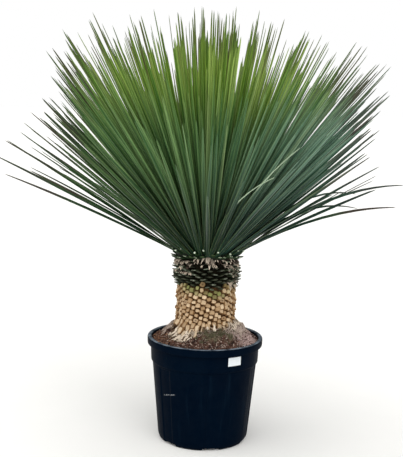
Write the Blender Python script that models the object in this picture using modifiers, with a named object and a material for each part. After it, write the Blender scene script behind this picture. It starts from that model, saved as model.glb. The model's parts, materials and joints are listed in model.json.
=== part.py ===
"""A beaked yucca in a nursery pot: a fluted plastic pot, its soil, a stout stem tiled with
cut leaf bases, a collar of longer dark leaf stubs, and a head of stiff narrow leaves.

Metres, +Z up. The origin is the centre of the pot's flat underside, and -Y is the front.
"""

import math
import random

import bmesh
import bpy
from mathutils import Matrix, Vector, noise

# Driving dimensions of the pot.
POT_HEIGHT = 0.345
RIM_RADIUS = 0.190
WALL = 0.004
LIP_DROP = 0.025
LIP_THICKNESS = 0.0035
UNDER_LIP = POT_HEIGHT - 0.0075
BAND_TOP_RADIUS = 0.1795
BAND_FOOT_RADIUS = 0.1765
LEDGE_HEIGHT = 0.268
LEDGE_STEP = 0.0045
FOOT_WALL_RADIUS = 0.150
FOOT_WALL_HEIGHT = 0.0275
FOOT_RADIUS = 0.140
POT_SIDES = 40

# Six flutes run down the wall, and each ends in a drainage channel under the base.
FLUTES = 6
FLUTE_CENTRE_DEG = 11.0
FLUTE_HALF_DEG = 8.5
FLUTE_DEPTH = 0.0022
CHANNEL_HALF_DEG = 11.5
CHANNEL_HEIGHT = 0.008
CHANNEL_START = 0.085
DRAIN_RADIUS = 0.006
DRAIN_AT = 0.112

# Driving dimensions of the label, the soil and the stem.
LABEL_WIDTH = 0.047
LABEL_HEIGHT = 0.028
LABEL_CENTRE_HEIGHT = 0.3005
LABEL_DEG = 32.3
PAPER = 0.0003
GAP = 0.0003
SOIL_BELOW_RIM = 0.010
SOIL_SLOPE = [(0.1170, 0.378), (0.127, 0.370), (0.138, 0.360), (0.150, 0.350), (0.163, 0.341)]
SOIL_LUMP = 0.006
SOIL_LUMPS_PER_METRE = 55.0
STEM_BOTTOM = 0.250
STEM_SOCKET_RADIUS = 0.1135
STEM_FOOT_HEIGHT = 0.372
STEM_STUB_DEPTH = 0.012
STEM_GROOVES = [(0.372, 0.1110), (0.385, 0.1005), (0.398, 0.0935), (0.415, 0.0905), (0.524, 0.0905)]
COLLAR_HEIGHT = 0.524
COLLAR_GROOVES = [(0.524, 0.0905), (0.556, 0.0885), (0.596, 0.0890), (0.613, 0.0910)]

# How far a cut leaf base stands out from its groove, how much its end rises, and the end's share
# of its cell across and upwards.
STEM_END_REACH = 0.0085
STEM_END_RISE = 0.0022
STEM_END_SHARES = (0.62, 0.58)
COLLAR_END_REACH = [(0.524, 0.013), (0.556, 0.024), (0.600, 0.025), (0.613, 0.028)]
COLLAR_END_RISE = 0.0050
COLLAR_END_SHARES = (0.42, 0.20)

# Driving dimensions of the head. Leaves are numbered from the lowest to the innermost.
HEAD_HEIGHT = 0.613
HEAD_RADIUS = 0.102
HEAD_RISE = 0.100
DOME_LIFT = 0.008
DOME_TOP_SINE = 0.985
DOME_CROWDING = 0.9
ROOT_LIFT = 0.013
LEAF_COUNT = 560
LEAF_STEP = 2
LEAF_WIDTH = 0.0125
LEAF_THICKNESS = 0.0032
LEAF_SUNK = 0.014
LEAF_OUTLINE = [(0.0, 0.66, 1.25), (0.52, 1.0, 1.0), (0.84, 0.66, 0.7)]
GOLDEN_ANGLE = math.pi * (3.0 - math.sqrt(5.0))
SEED = 11

# Tilt from the vertical, in degrees, by the leaf's share of the count.
LEAF_TILTS = [
    (0.0, 64.0),
    (0.025, 58.5),
    (0.10, 51.0),
    (0.30, 44.0),
    (0.52, 36.0),
    (0.72, 27.5),
    (0.87, 17.0),
    (1.0, 2.0),
]
# Length by tilt. The leaves half way down are the longest.
LEAF_LENGTHS = [
    (0.0, 0.676),
    (20.0, 0.685),
    (36.0, 0.715),
    (44.0, 0.715),
    (52.0, 0.675),
    (60.0, 0.635),
    (75.0, 0.590),
]
# The head's outline from the front: a share of the length by the leaf's lean to the right. Two
# shoulders stand out, and the leaves under them are shorter, most of all on the right.
HEAD_SHAPE = [
    (-90.0, 0.88),
    (-72.0, 0.88),
    (-63.0, 0.97),
    (-54.0, 0.95),
    (-43.0, 0.88),
    (-38.0, 0.94),
    (-31.0, 1.08),
    (-25.0, 1.05),
    (-20.0, 0.99),
    (0.0, 0.98),
    (30.0, 0.98),
    (35.0, 1.02),
    (39.0, 1.02),
    (43.0, 0.88),
    (48.0, 0.80),
    (56.0, 0.80),
    (64.0, 0.90),
    (90.0, 0.90),
]
# Leaves gather in loose sheaves all round, and in three thick ones at these leans.
SHEAVES = 7
SHEAF_PULL_DEG = 2.0
SHEAF_LIFT_DEG = 1.2
SHEAF_TURNS = 9.0
THICK_SHEAVES_DEG = (-36.0, 2.0, 42.0)
THICK_PULL = 0.34
THICK_SPREAD_DEG = 11.0

# How much one leaf differs from the next.
TILT_JITTER_DEG = 3.0
AIM_JITTER_DEG = 3.0
UPRIGHT_SINE = 0.25
LENGTH_JITTER = 0.06
WIDTH_JITTER = 0.12
DROOP = 0.030
DROOP_POWER = 2.2
TWIST_DEG = 48.0
SWAY = 0.012

# Single leaves that leave the head: angle from the front, tilt, length, droop, twist.
STRAY_LEAVES = [
    (-88.0, 61.5, 0.680, 0.03, 1.2),
    (-94.0, 56.5, 0.700, 0.05, 1.0),
    (82.0, 50.0, 0.690, 0.28, 1.1),
    (90.0, 60.0, 0.600, 0.22, 0.9),
    (60.0, 41.0, 0.630, 0.38, 0.6),
    (66.0, 45.0, 0.570, 0.38, 0.6),
]


def polar(radius, angle, z):
    """A point at an angle turned from the front, -Y, towards +X."""
    return Vector((radius * math.sin(angle), -radius * math.cos(angle), z))


def between(low, high, share):
    return low + (high - low) * share


def along(points, x):
    """The value at x on a line through (x, value) points, which run upwards in x."""
    for (x0, v0), (x1, v1) in zip(points, points[1:]):
        if x <= x1:
            return between(v0, v1, max(0.0, x - x0) / (x1 - x0))
    return points[-1][1]


def material(name, colour, roughness, metallic=0.0):
    made = bpy.data.materials.new(name)
    made.use_nodes = True
    shader = made.node_tree.nodes["Principled BSDF"]
    shader.inputs["Base Color"].default_value = (*colour, 1.0)
    shader.inputs["Roughness"].default_value = roughness
    shader.inputs["Metallic"].default_value = metallic
    return made


def new_object(name, mesh, collection, finish=None):
    made = bpy.data.objects.new(name, mesh)
    collection.objects.link(made)
    if finish:
        mesh.materials.append(finish)
    return made


def object_from(bm, name, collection, finish=None):
    """Closes a bmesh into a named object, with its faces pointing out."""
    bmesh.ops.recalc_face_normals(bm, faces=bm.faces)
    mesh = bpy.data.meshes.new(name)
    bm.to_mesh(mesh)
    bm.free()
    return new_object(name, mesh, collection, finish)


def turned(name, profile, sides, collection, finish=None):
    """A solid of revolution, from an outline that runs from the axis down its outer side."""
    mesh = bpy.data.meshes.new(name)
    points = [(radius, 0.0, z) for radius, z in profile]
    mesh.from_pydata(points, [(i, i + 1) for i in range(len(points) - 1)], [])
    made = new_object(name, mesh, collection, finish)
    screw = made.modifiers.new("turn", "SCREW")
    screw.axis = "Z"
    screw.steps = screw.render_steps = sides
    screw.use_merge_vertices = True
    screw.merge_threshold = 0.00005
    screw.use_smooth_shade = True
    return made


def loft(bm, sections):
    """Skins closed sections of equal count one after another, and caps both ends."""
    rings = [[bm.verts.new(point) for point in section] for section in sections]
    count = len(rings[0])
    for low, high in zip(rings, rings[1:]):
        for i in range(count):
            j = (i + 1) % count
            bm.faces.new((low[i], low[j], high[j], high[i]))
    bm.faces.new(rings[0])
    bm.faces.new(rings[-1])


def join(target, collection, operation, solver="EXACT"):
    """Cuts or joins every object of a collection with the target, as one modifier."""
    boolean = target.modifiers.new(operation.lower(), "BOOLEAN")
    boolean.operation = operation
    boolean.operand_type = "COLLECTION"
    boolean.collection = collection
    boolean.solver = solver
    return boolean


def apply_modifiers(target):
    """Replaces the object's mesh by its evaluated one, and drops the modifiers."""
    graph = bpy.context.evaluated_depsgraph_get()
    mesh = bpy.data.meshes.new_from_object(target.evaluated_get(graph))
    target.modifiers.clear()
    target.data = mesh


def soften(target, crease_deg):
    """Shades the round faces smoothly, and keeps the edges that are sharper than the crease."""
    apply_modifiers(target)
    target.data.shade_smooth()
    target.data.set_sharp_from_angle(angle=math.radians(crease_deg))


def helpers(name):
    """A collection for shapes that cut a part or are joined to it."""
    made = bpy.data.collections.new(name)
    bpy.context.scene.collection.children.link(made)
    return made


def discard(collection):
    """Removes shapes that have done their work."""
    for used in list(collection.objects):
        bpy.data.objects.remove(used)
    bpy.data.collections.remove(collection)


def flute_angles():
    return [math.radians(FLUTE_CENTRE_DEG + i * 360.0 / FLUTES) for i in range(FLUTES)]


def wall_radius(z):
    """The pot's outer wall below the ledge, a straight taper."""
    top = (LEDGE_HEIGHT - LEDGE_STEP, BAND_FOOT_RADIUS - LEDGE_STEP)
    return along([(FOOT_WALL_HEIGHT, FOOT_WALL_RADIUS), top], z)


def pot_outline():
    """From the axis over the rim, round the hanging lip, and down the wall to the foot."""
    lip_foot = POT_HEIGHT - LIP_DROP
    skirt = RIM_RADIUS - LIP_THICKNESS
    ledge_foot = LEDGE_HEIGHT - LEDGE_STEP
    return [
        (0.0, POT_HEIGHT),
        (RIM_RADIUS - 0.0065, POT_HEIGHT),
        (RIM_RADIUS - 0.0018, POT_HEIGHT - 0.0014),
        (RIM_RADIUS, POT_HEIGHT - 0.0050),
        (RIM_RADIUS - 0.0005, lip_foot + 0.0015),
        (RIM_RADIUS - 0.0018, lip_foot),
        (skirt, lip_foot + 0.0010),
        (skirt, UNDER_LIP),
        (BAND_TOP_RADIUS, UNDER_LIP),
        (BAND_FOOT_RADIUS, LEDGE_HEIGHT),
        (wall_radius(ledge_foot), ledge_foot),
        (FOOT_WALL_RADIUS, FOOT_WALL_HEIGHT),
        (FOOT_WALL_RADIUS - 0.0015, 0.0155),
        (FOOT_WALL_RADIUS - 0.0048, 0.0060),
        (FOOT_RADIUS, 0.0),
        (0.0, 0.0),
    ]


def band_radius(z):
    """The smooth band's outer face, from the ledge up to under the lip."""
    return along([(LEDGE_HEIGHT, BAND_FOOT_RADIUS), (UNDER_LIP, BAND_TOP_RADIUS)], z)


def cavity_outline(clearance, crown):
    """The pot's inside, drawn in by a clearance, under a crown of points that ends at the wall."""
    inset = WALL + clearance
    ledge_foot = LEDGE_HEIGHT - LEDGE_STEP
    return crown + [
        (BAND_FOOT_RADIUS - inset, LEDGE_HEIGHT),
        (wall_radius(ledge_foot) - inset, ledge_foot),
        (FOOT_WALL_RADIUS - inset, FOOT_WALL_HEIGHT),
        (FOOT_WALL_RADIUS - 0.0048 - inset, 0.0090 + clearance),
        (FOOT_RADIUS - inset, WALL + clearance),
        (0.0, WALL + clearance),
    ]


def wedge(bm, angle, half_angle, inner, outer, low, high):
    """A radial block between two radii, narrower towards the axis."""
    def corner(radius, turn, z):
        return polar(radius, angle + turn * half_angle, z)

    def section(z):
        return [corner(inner, -1, z), corner(outer, -1, z), corner(outer, 1, z), corner(inner, 1, z)]

    loft(bm, [section(low), section(high)])


def wedges(name, collection, half_deg, inner, outer, low, high):
    """One radial block at each flute."""
    for i, angle in enumerate(flute_angles()):
        bm = bmesh.new()
        wedge(bm, angle, math.radians(half_deg), inner, outer, low, high)
        object_from(bm, f"{name}_{i}", collection)


def flute_cutters(collection):
    """Long hollows that follow the wall's taper, from the ledge down past the base."""
    steps = 4
    half = math.radians(FLUTE_HALF_DEG)
    flare = math.radians(1.0)
    for i, angle in enumerate(flute_angles()):
        bm = bmesh.new()
        sections = []
        for z in (-0.006, LEDGE_HEIGHT - LEDGE_STEP - 0.004):
            floor = wall_radius(FOOT_WALL_HEIGHT) - FLUTE_DEPTH
            floor += (wall_radius(0.2) - wall_radius(0.1)) * (z - FOOT_WALL_HEIGHT) / 0.1
            arc = [angle + half * (2.0 * s / steps - 1.0) for s in range(steps + 1)]
            section = [polar(floor, turn, z) for turn in arc]
            section += [polar(floor + 0.02, angle + half + flare * 8, z)]
            section += [polar(floor + 0.02, angle - half - flare * 8, z)]
            sections.append(section)
        loft(bm, sections)
        object_from(bm, f"flute_{i}", collection)


def drain_cutters(collection):
    for i, angle in enumerate(flute_angles()):
        bm = bmesh.new()
        place = Matrix.Translation(polar(DRAIN_AT, angle, 0.012))
        bmesh.ops.create_cone(
            bm,
            cap_ends=True,
            segments=12,
            radius1=DRAIN_RADIUS,
            radius2=DRAIN_RADIUS,
            depth=0.04,
            matrix=place,
        )
        object_from(bm, f"drain_{i}", collection)


def cavity(name, clearance, crown, collection, finish=None):
    """The pot's inside as a solid, notched where the channel hoods rise into it."""
    hoods = helpers(name + "_hoods")
    margin = WALL - 0.0005 + clearance
    wedges(
        name + "_hood",
        hoods,
        CHANNEL_HALF_DEG + math.degrees(margin / DRAIN_AT),
        CHANNEL_START - margin,
        RIM_RADIUS,
        -0.01,
        CHANNEL_HEIGHT + margin,
    )
    made = turned(name, cavity_outline(clearance, crown), POT_SIDES, collection, finish)
    join(made, hoods, "DIFFERENCE")
    apply_modifiers(made)
    discard(hoods)
    return made


def build_pot(parts):
    """One moulding: rim with a hanging lip, smooth band, ledge, fluted wall, channelled base."""
    plastic = material("black_plastic", (0.006, 0.011, 0.022), 0.42)
    pot = turned("pot", pot_outline(), POT_SIDES, parts, plastic)
    inside = helpers("pot_inside")
    mouth = BAND_TOP_RADIUS - WALL
    crown = [(0.0, POT_HEIGHT + 0.01), (mouth, POT_HEIGHT + 0.01), (mouth, UNDER_LIP)]
    cavity("pot_cavity", 0.0, crown, inside)
    join(pot, inside, "DIFFERENCE")
    outside = helpers("pot_outside")
    flute_cutters(outside)
    wedges("channel", outside, CHANNEL_HALF_DEG, CHANNEL_START, RIM_RADIUS, -0.01, CHANNEL_HEIGHT)
    drain_cutters(outside)
    join(pot, outside, "DIFFERENCE")
    soften(pot, 30.0)
    discard(inside)
    discard(outside)


def build_label(parts):
    """A blank paper label, stuck on the smooth band to the right of the front."""
    paper = material("label_paper", (0.72, 0.78, 0.80), 0.55)
    columns = 6
    radius = band_radius(LABEL_CENTRE_HEIGHT)
    lean = (BAND_TOP_RADIUS - BAND_FOOT_RADIUS) / (UNDER_LIP - LEDGE_HEIGHT)
    sweep = LABEL_WIDTH / radius
    bm = bmesh.new()
    sections = []
    for i in range(columns + 1):
        angle = math.radians(LABEL_DEG) + sweep * (i / columns - 0.5)
        section = []
        for up, out in ((-0.5, 0.0), (0.5, 0.0), (0.5, PAPER), (-0.5, PAPER)):
            rise = up * LABEL_HEIGHT
            section.append(
                polar(radius + lean * rise + GAP + out, angle, LABEL_CENTRE_HEIGHT + rise)
            )
        sections.append(section)
    loft(bm, sections)
    object_from(bm, "label", parts, paper)


def build_soil(parts):
    """The root ball's soil, with a lumpy mound round the stem and a plain socket for it."""
    earth = material("potting_soil", (0.060, 0.032, 0.022), 0.95)
    edge_height = POT_HEIGHT - SOIL_BELOW_RIM
    edge = band_radius(edge_height) - WALL - GAP
    crown = [(0.0, SOIL_SLOPE[0][1])] + SOIL_SLOPE + [(edge, edge_height)]
    soil = cavity("soil", GAP, crown, parts, earth)
    for vertex in soil.data.vertices:
        radius = math.hypot(vertex.co.x, vertex.co.y)
        if vertex.co.z > edge_height + 0.0002 and radius > SOIL_SLOPE[0][0] + 0.001:
            vertex.co.z += SOIL_LUMP * noise.noise(vertex.co * SOIL_LUMPS_PER_METRE)
    socket = helpers("soil_socket")
    profile = [
        (0.0, 0.40),
        (STEM_SOCKET_RADIUS + GAP, 0.40),
        (STEM_SOCKET_RADIUS + GAP, STEM_BOTTOM - GAP),
        (0.0, STEM_BOTTOM - GAP),
    ]
    turned("socket", profile, POT_SIDES, socket)
    join(soil, socket, "DIFFERENCE")
    soften(soil, 50.0)
    discard(socket)


def scaled_stem(name, spec, collection, finish):
    """A stem covered in cut leaf bases: a diamond lattice of grooves, a raised end in each cell.

    spec holds the lattice's size, its groove radius by height, and a function that gives each
    leaf base's end as (outward, upward, share of the cell's width, share of its height)."""
    draw = random.Random(SEED + spec["rows"])
    around, rows = spec["around"], spec["rows"]
    low, high = spec["low"], spec["high"]
    step = 2.0 * math.pi / around
    pitch = (high - low) / rows
    bm = bmesh.new()
    lattice = []
    for row in range(rows + 1):
        z = low + row * pitch
        radius = along(spec["groove"], z)
        turn = 0.5 * (row % 2)
        lattice.append([bm.verts.new(polar(radius, (i + turn) * step, z)) for i in range(around)])

    def neighbour(row, i):
        """The index, in the rows above and below, of the point over the middle of cell i."""
        return (i + row % 2) % around

    for row in range(1, rows):
        z = low + row * pitch
        for i in range(around):
            k = neighbour(row, i)
            left, right = lattice[row][i], lattice[row][(i + 1) % around]
            rim = [left, lattice[row - 1][k], right, lattice[row + 1][k]]
            out, rise, (wide, tall) = spec["end"](z, draw)
            angle = (i + 0.5 * (row % 2) + 0.5) * step
            half = 0.5 * wide * step
            radius = along(spec["groove"], z) + out
            lift = 0.5 * tall * 2.0 * pitch
            corners = [(-half, 0.0), (0.0, -lift), (half, 0.0), (0.0, lift)]
            end = [bm.verts.new(polar(radius, angle + turn, z + rise + up)) for turn, up in corners]
            for a in range(4):
                b = (a + 1) % 4
                bm.faces.new((rim[a], rim[b], end[b], end[a]))
            bm.faces.new(end)
    for row, outer in ((0, 1), (rows, rows - 1)):
        for i in range(around):
            k = neighbour(row, i)
            bm.faces.new((lattice[row][i], lattice[row][(i + 1) % around], lattice[outer][k]))
    bottom = lattice[0]
    for radius, z in spec.get("stub", []):
        ring = [bm.verts.new(polar(radius, i * step, z)) for i in range(around)]
        for i in range(around):
            j = (i + 1) % around
            bm.faces.new((bottom[i], bottom[j], ring[j], ring[i]))
        bottom = ring
    bm.faces.new(bottom)
    bm.faces.new(lattice[-1])
    return object_from(bm, name, collection, finish)


def build_stem(parts):
    """The stem's dry lower part: short tan leaf bases, flaring where it enters the soil."""
    bark = material("dry_leaf_bases", (0.46, 0.30, 0.14), 0.85)

    stub = STEM_SOCKET_RADIUS - 0.0004

    def end(z, draw):
        return STEM_END_REACH * draw.uniform(0.8, 1.15), STEM_END_RISE, STEM_END_SHARES

    spec = {
        "around": 20,
        "rows": 12,
        "low": STEM_FOOT_HEIGHT,
        "high": COLLAR_HEIGHT,
        "groove": STEM_GROOVES,
        "end": end,
        "stub": [(stub, STEM_FOOT_HEIGHT - STEM_STUB_DEPTH), (stub, STEM_BOTTOM)],
    }
    soften(scaled_stem("stem", spec, parts, bark), 25.0)


def build_collar(parts):
    """The collar under the head: longer dark stubs of trimmed leaves, pointing out and up."""
    stubs = material("green_leaf_stubs", (0.040, 0.055, 0.028), 0.70)

    def end(z, draw):
        reach = along(COLLAR_END_REACH, z) * draw.uniform(0.85, 1.06)
        return reach, COLLAR_END_RISE, COLLAR_END_SHARES

    spec = {
        "around": 20,
        "rows": 6,
        "low": COLLAR_HEIGHT + GAP,
        "high": HEAD_HEIGHT - GAP,
        "groove": COLLAR_GROOVES,
        "end": end,
    }
    soften(scaled_stem("cut_leaf_collar", spec, parts, stubs), 25.0)


def gathered(direction):
    """A leaf's direction, turned towards the nearest thick sheaf, and its lean to the right."""
    lean = math.degrees(math.atan2(direction.x, direction.z))
    pull = 0.0
    for thick in THICK_SHEAVES_DEG:
        off = lean - thick
        pull -= THICK_PULL * off * math.exp(-((off / THICK_SPREAD_DEG) ** 2))
    return Matrix.Rotation(math.radians(pull), 3, "Y") @ direction, lean + pull


def leaf_rule(k, draw):
    """Where leaf k of the head grows, which way it points, and how it is shaped.

    Each leaf stands a golden angle on from the one before. The same seven draws are made
    for every leaf."""
    wobble = [draw.uniform(-1.0, 1.0) for _ in range(7)]
    share = (k + 0.5) / LEAF_COUNT
    angle = k * GOLDEN_ANGLE
    up = math.asin(DOME_TOP_SINE * share ** DOME_CROWDING)
    height = HEAD_HEIGHT + ROOT_LIFT + HEAD_RISE * math.sin(up)
    tilt = along(LEAF_TILTS, share)
    length = along(LEAF_LENGTHS, tilt) * (1.0 + LENGTH_JITTER * wobble[2])
    tilt += TILT_JITTER_DEG * wobble[0] + SHEAF_LIFT_DEG * math.sin(SHEAVES * angle + 1.0)
    tilt = max(0.0, math.radians(tilt))
    aim = angle + math.radians(AIM_JITTER_DEG) * wobble[1] / max(UPRIGHT_SINE, math.sin(tilt))
    aim += math.radians(SHEAF_PULL_DEG) * math.sin(SHEAVES * angle + SHEAF_TURNS * tilt)
    direction, lean = gathered(polar(math.sin(tilt), aim, math.cos(tilt)))
    tilt = math.acos(min(1.0, direction.z))
    return {
        "root": polar(HEAD_RADIUS * math.cos(up), angle, height),
        "aim": math.atan2(direction.x, -direction.y),
        "tilt": tilt,
        "length": length * along(HEAD_SHAPE, lean),
        "droop": math.sin(tilt) * DROOP * (1.0 + wobble[3]),
        "twist": math.radians(TWIST_DEG) * wobble[4],
        "width": LEAF_WIDTH * (1.0 + WIDTH_JITTER * wobble[5]),
        "sway": SWAY * wobble[6],
    }


def stray_rule(angle_deg, tilt_deg, length, droop, twist):
    angle = math.radians(angle_deg)
    return {
        "root": polar(HEAD_RADIUS, angle, HEAD_HEIGHT + ROOT_LIFT),
        "aim": angle,
        "tilt": math.radians(tilt_deg),
        "length": length,
        "droop": droop,
        "twist": twist,
        "width": LEAF_WIDTH,
        "sway": 0.0,
    }


def leaf_sections(rule):
    """Three-cornered sections along one leaf: two edges, and a keel on its lower side."""
    aim, tilt, length = rule["aim"], rule["tilt"], rule["length"]
    direction = polar(math.sin(tilt), aim, math.cos(tilt))
    across = Vector((math.cos(aim), math.sin(aim), 0.0))
    below = across.cross(direction)
    start = rule["root"] - direction * LEAF_SUNK

    def centre(share):
        bend = Vector((0.0, 0.0, -rule["droop"] * length * share ** DROOP_POWER))
        drift = across * (rule["sway"] * length * share ** 2)
        return start + direction * (length * share) + bend + drift

    sections = []
    for share, wide, thick in LEAF_OUTLINE:
        turn = Matrix.Rotation(rule["twist"] * share, 3, direction)
        side = turn @ across * (0.5 * rule["width"] * wide)
        keel = turn @ below * (LEAF_THICKNESS * thick)
        sections.append([centre(share) - side, centre(share) + side, centre(share) + keel])
    return sections, centre(1.0)


def leaf(rule, name, collection):
    """One blade through its sections to a point, its faces all split the same way."""
    sections, point = leaf_sections(rule)
    bm = bmesh.new()
    rings = [[bm.verts.new(corner) for corner in section] for section in sections]
    tip = bm.verts.new(point)
    for low, high in zip(rings, rings[1:]):
        for i in range(3):
            j = (i + 1) % 3
            bm.faces.new((low[i], low[j], high[j]))
            bm.faces.new((low[i], high[j], high[i]))
    for i in range(3):
        bm.faces.new((rings[-1][i], rings[-1][(i + 1) % 3], tip))
    bm.faces.new(rings[0])
    object_from(bm, name, collection)


def build_head(parts):
    """The head: a short growing point, and the leaves that stand out from it on all sides."""
    green = material("yucca_leaf", (0.060, 0.135, 0.060), 0.50)
    draw = random.Random(SEED)
    outline = [(0.0, HEAD_HEIGHT + DOME_LIFT + HEAD_RISE)]
    for degrees in (78, 64, 48, 32, 16, 0):
        up = math.radians(degrees)
        height = HEAD_HEIGHT + DOME_LIFT + HEAD_RISE * math.sin(up)
        outline.append((HEAD_RADIUS * math.cos(up), height))
    outline += [(HEAD_RADIUS, HEAD_HEIGHT), (0.0, HEAD_HEIGHT)]
    head = turned("leaf_head", outline, 32, parts, green)
    blades = helpers("blades")
    for k in range(LEAF_COUNT):
        rule = leaf_rule(k, draw)
        if k % LEAF_STEP == 0:
            leaf(rule, f"blade_{k}", blades)
    for i, stray in enumerate(STRAY_LEAVES):
        leaf(stray_rule(*stray), f"stray_{i}", blades)
    join(head, blades, "UNION", "MANIFOLD")
    soften(head, 25.0)
    discard(blades)


def main():
    for old in list(bpy.data.objects):
        bpy.data.objects.remove(old)
    parts = bpy.data.collections.new("potted_yucca")
    bpy.context.scene.collection.children.link(parts)
    build_pot(parts)
    build_label(parts)
    build_soil(parts)
    build_stem(parts)
    build_collar(parts)
    build_head(parts)


main()
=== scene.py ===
"""A potted beaked yucca, seen as in its photograph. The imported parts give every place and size, and
finer pieces stand for them here. Metres, +Z up. Angles turn from the front, -Y, towards +X."""

import json
import math
import random

import bmesh
import bpy
from mathutils import Matrix, Vector, noise

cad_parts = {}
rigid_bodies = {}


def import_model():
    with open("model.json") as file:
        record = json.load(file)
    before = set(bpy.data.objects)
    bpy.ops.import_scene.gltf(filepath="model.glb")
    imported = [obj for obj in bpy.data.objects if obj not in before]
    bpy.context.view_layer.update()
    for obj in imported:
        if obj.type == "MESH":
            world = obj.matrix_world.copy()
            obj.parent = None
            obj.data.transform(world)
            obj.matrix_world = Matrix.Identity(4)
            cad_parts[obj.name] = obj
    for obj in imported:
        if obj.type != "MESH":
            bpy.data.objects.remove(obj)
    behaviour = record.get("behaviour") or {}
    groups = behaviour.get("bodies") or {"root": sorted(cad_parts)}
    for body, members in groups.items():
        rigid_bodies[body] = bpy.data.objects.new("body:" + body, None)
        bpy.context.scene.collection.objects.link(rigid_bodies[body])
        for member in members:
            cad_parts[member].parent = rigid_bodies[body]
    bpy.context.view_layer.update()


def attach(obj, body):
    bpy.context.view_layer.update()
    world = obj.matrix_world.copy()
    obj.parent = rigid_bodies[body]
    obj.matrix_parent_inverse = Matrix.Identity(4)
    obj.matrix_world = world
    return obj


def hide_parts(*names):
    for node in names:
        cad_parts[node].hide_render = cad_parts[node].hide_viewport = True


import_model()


# The studio: a plain pale floor under the pot, an even white surround, and broad soft light from
# above. The camera stands three metres off, a little left of the plant's middle, looking down.
CAMERA_PLACE = (-0.0209, -3.05, 1.13)
CAMERA_DOWN = 8.0
CAMERA_ROLL = 1.5
CAMERA_LENS = 74.44
CAMERA_REACH = 200.0
FLOOR_HALF = 60.0
SURROUND_LIGHT = 0.42
# Broad far lamps: strength, spread, angle from overhead, where they stand from the front, and colour.
LAMPS = {
    "overhead_lamp": (2.5, 100.0, 24.0, -34.0, (1.0, 0.985, 0.955)),
    "front_lamp": (0.8, 60.0, 60.0, 20.0, (1.0, 0.99, 0.97)),
}


def paint(red, green, blue):
    """A colour as a screen shows it, 0 to 255, in the numbers that a shader takes."""
    shares = [value / 255.0 for value in (red, green, blue)]
    linear = [s / 12.92 if s <= 0.04045 else ((s + 0.055) / 1.055) ** 2.4 for s in shares]
    return (*linear, 1.0)


class Wire:
    """What one output of a shader node gives, with arithmetic."""

    def __init__(self, socket):
        self.socket = socket

    def __add__(self, other):
        return maths("ADD", self, other)

    def __sub__(self, other):
        return maths("SUBTRACT", self, other)

    def __rsub__(self, other):
        return maths("SUBTRACT", other, self)

    def __mul__(self, other):
        return maths("MULTIPLY", self, other)

    def __abs__(self):
        return maths("ABSOLUTE", self)


def feed(socket, value):
    """Links a shader socket to a wire, or sets it. A colour is given as a screen shows it."""
    if isinstance(value, Wire):
        socket.id_data.links.new(value.socket, socket)
    else:
        socket.default_value = paint(*value) if socket.type == "RGBA" else value


def node(tree, kind, inputs=None, output=0, **settings):
    """Adds a shader node with its settings and inputs, and gives one output, or a list of them."""
    made = tree.nodes.new("ShaderNode" + kind)
    for name, value in settings.items():
        setattr(made, name, value)
    for name, value in (inputs or {}).items():
        feed(made.inputs[name], value)
    if isinstance(output, tuple):
        return [Wire(made.outputs[name]) for name in output]
    return Wire(made.outputs[output])


def tree_of(*values):
    """The shader that the wires among the values belong to."""
    return next(value.socket.id_data for value in values if isinstance(value, Wire))


def maths(operation, *values):
    """One step of arithmetic."""
    return node(tree_of(*values), "Math", dict(enumerate(values)), operation=operation)


def mixed(share, one, other, how="MIX"):
    """A mix of two colours by share."""
    inputs = {0: share, 6: one, 7: other}
    return node(tree_of(share, one, other), "Mix", inputs, output=2, data_type="RGBA", blend_type=how)


def cloud(where, scale, detail=3.0, rough=0.55):
    """Soft irregular noise, about 0.5 on average."""
    inputs = {"Vector": where, "Scale": scale, "Detail": detail, "Roughness": rough}
    return node(tree_of(where), "TexNoise", inputs)


def new_material(name, roughness, gloss=0.5):
    """A material with one surface shader, and the place on the object that its nodes read."""
    made = bpy.data.materials.new(name)
    made.use_nodes = True
    shader = made.node_tree.nodes["Principled BSDF"]
    shader.inputs["Roughness"].default_value = roughness
    shader.inputs["Specular IOR Level"].default_value = gloss
    return made, shader, node(made.node_tree, "TexCoord", output="Object")


def coat(shader, colour, height=None, depth=0.001, roughness=None):
    """Feeds the shader its colour, the relief that bends its light, and its roughness."""
    feed(shader.inputs["Base Color"], colour)
    if roughness is not None:
        feed(shader.inputs["Roughness"], roughness)
    if height is not None:
        relief = node(tree_of(height), "Bump", {"Height": height, "Distance": depth})
        feed(shader.inputs["Normal"], relief)


def placed(name, data):
    """A new object in the scene."""
    made = bpy.data.objects.new(name, data)
    bpy.context.scene.collection.objects.link(made)
    return made


for name, (strength, spread, down, around, colour) in LAMPS.items():
    lamp = bpy.data.lights.new(name, "SUN")
    lamp.energy = strength
    lamp.angle = math.radians(spread)
    lamp.color = colour
    placed(name, lamp).rotation_euler = (math.radians(down), 0.0, math.radians(around))

surround = bpy.data.worlds.new("white_surround")
surround.use_nodes = True
bpy.context.scene.world = surround
seen = node(surround.node_tree, "LightPath", output="Is Camera Ray")
backdrop = surround.node_tree.nodes["Background"].inputs
feed(backdrop["Color"], (255, 255, 255))
feed(backdrop["Strength"], maths("MAXIMUM", seen, SURROUND_LIGHT))
bpy.context.scene.view_settings.view_transform = "Standard"

floor_mesh = bpy.data.meshes.new("floor")
corners = [(FLOOR_HALF * x, FLOOR_HALF * y, 0.0) for x, y in ((-1, -1), (1, -1), (1, 1), (-1, 1))]
floor_mesh.from_pydata(corners, [], [(0, 1, 2, 3)])
floor = placed("floor", floor_mesh)
finish, shader, where = new_material("pale_floor", 0.8, 0.1)
coat(shader, mixed(cloud(where, 3.0), (246, 246, 245), (250, 250, 249)))
floor_mesh.materials.append(finish)

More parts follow.
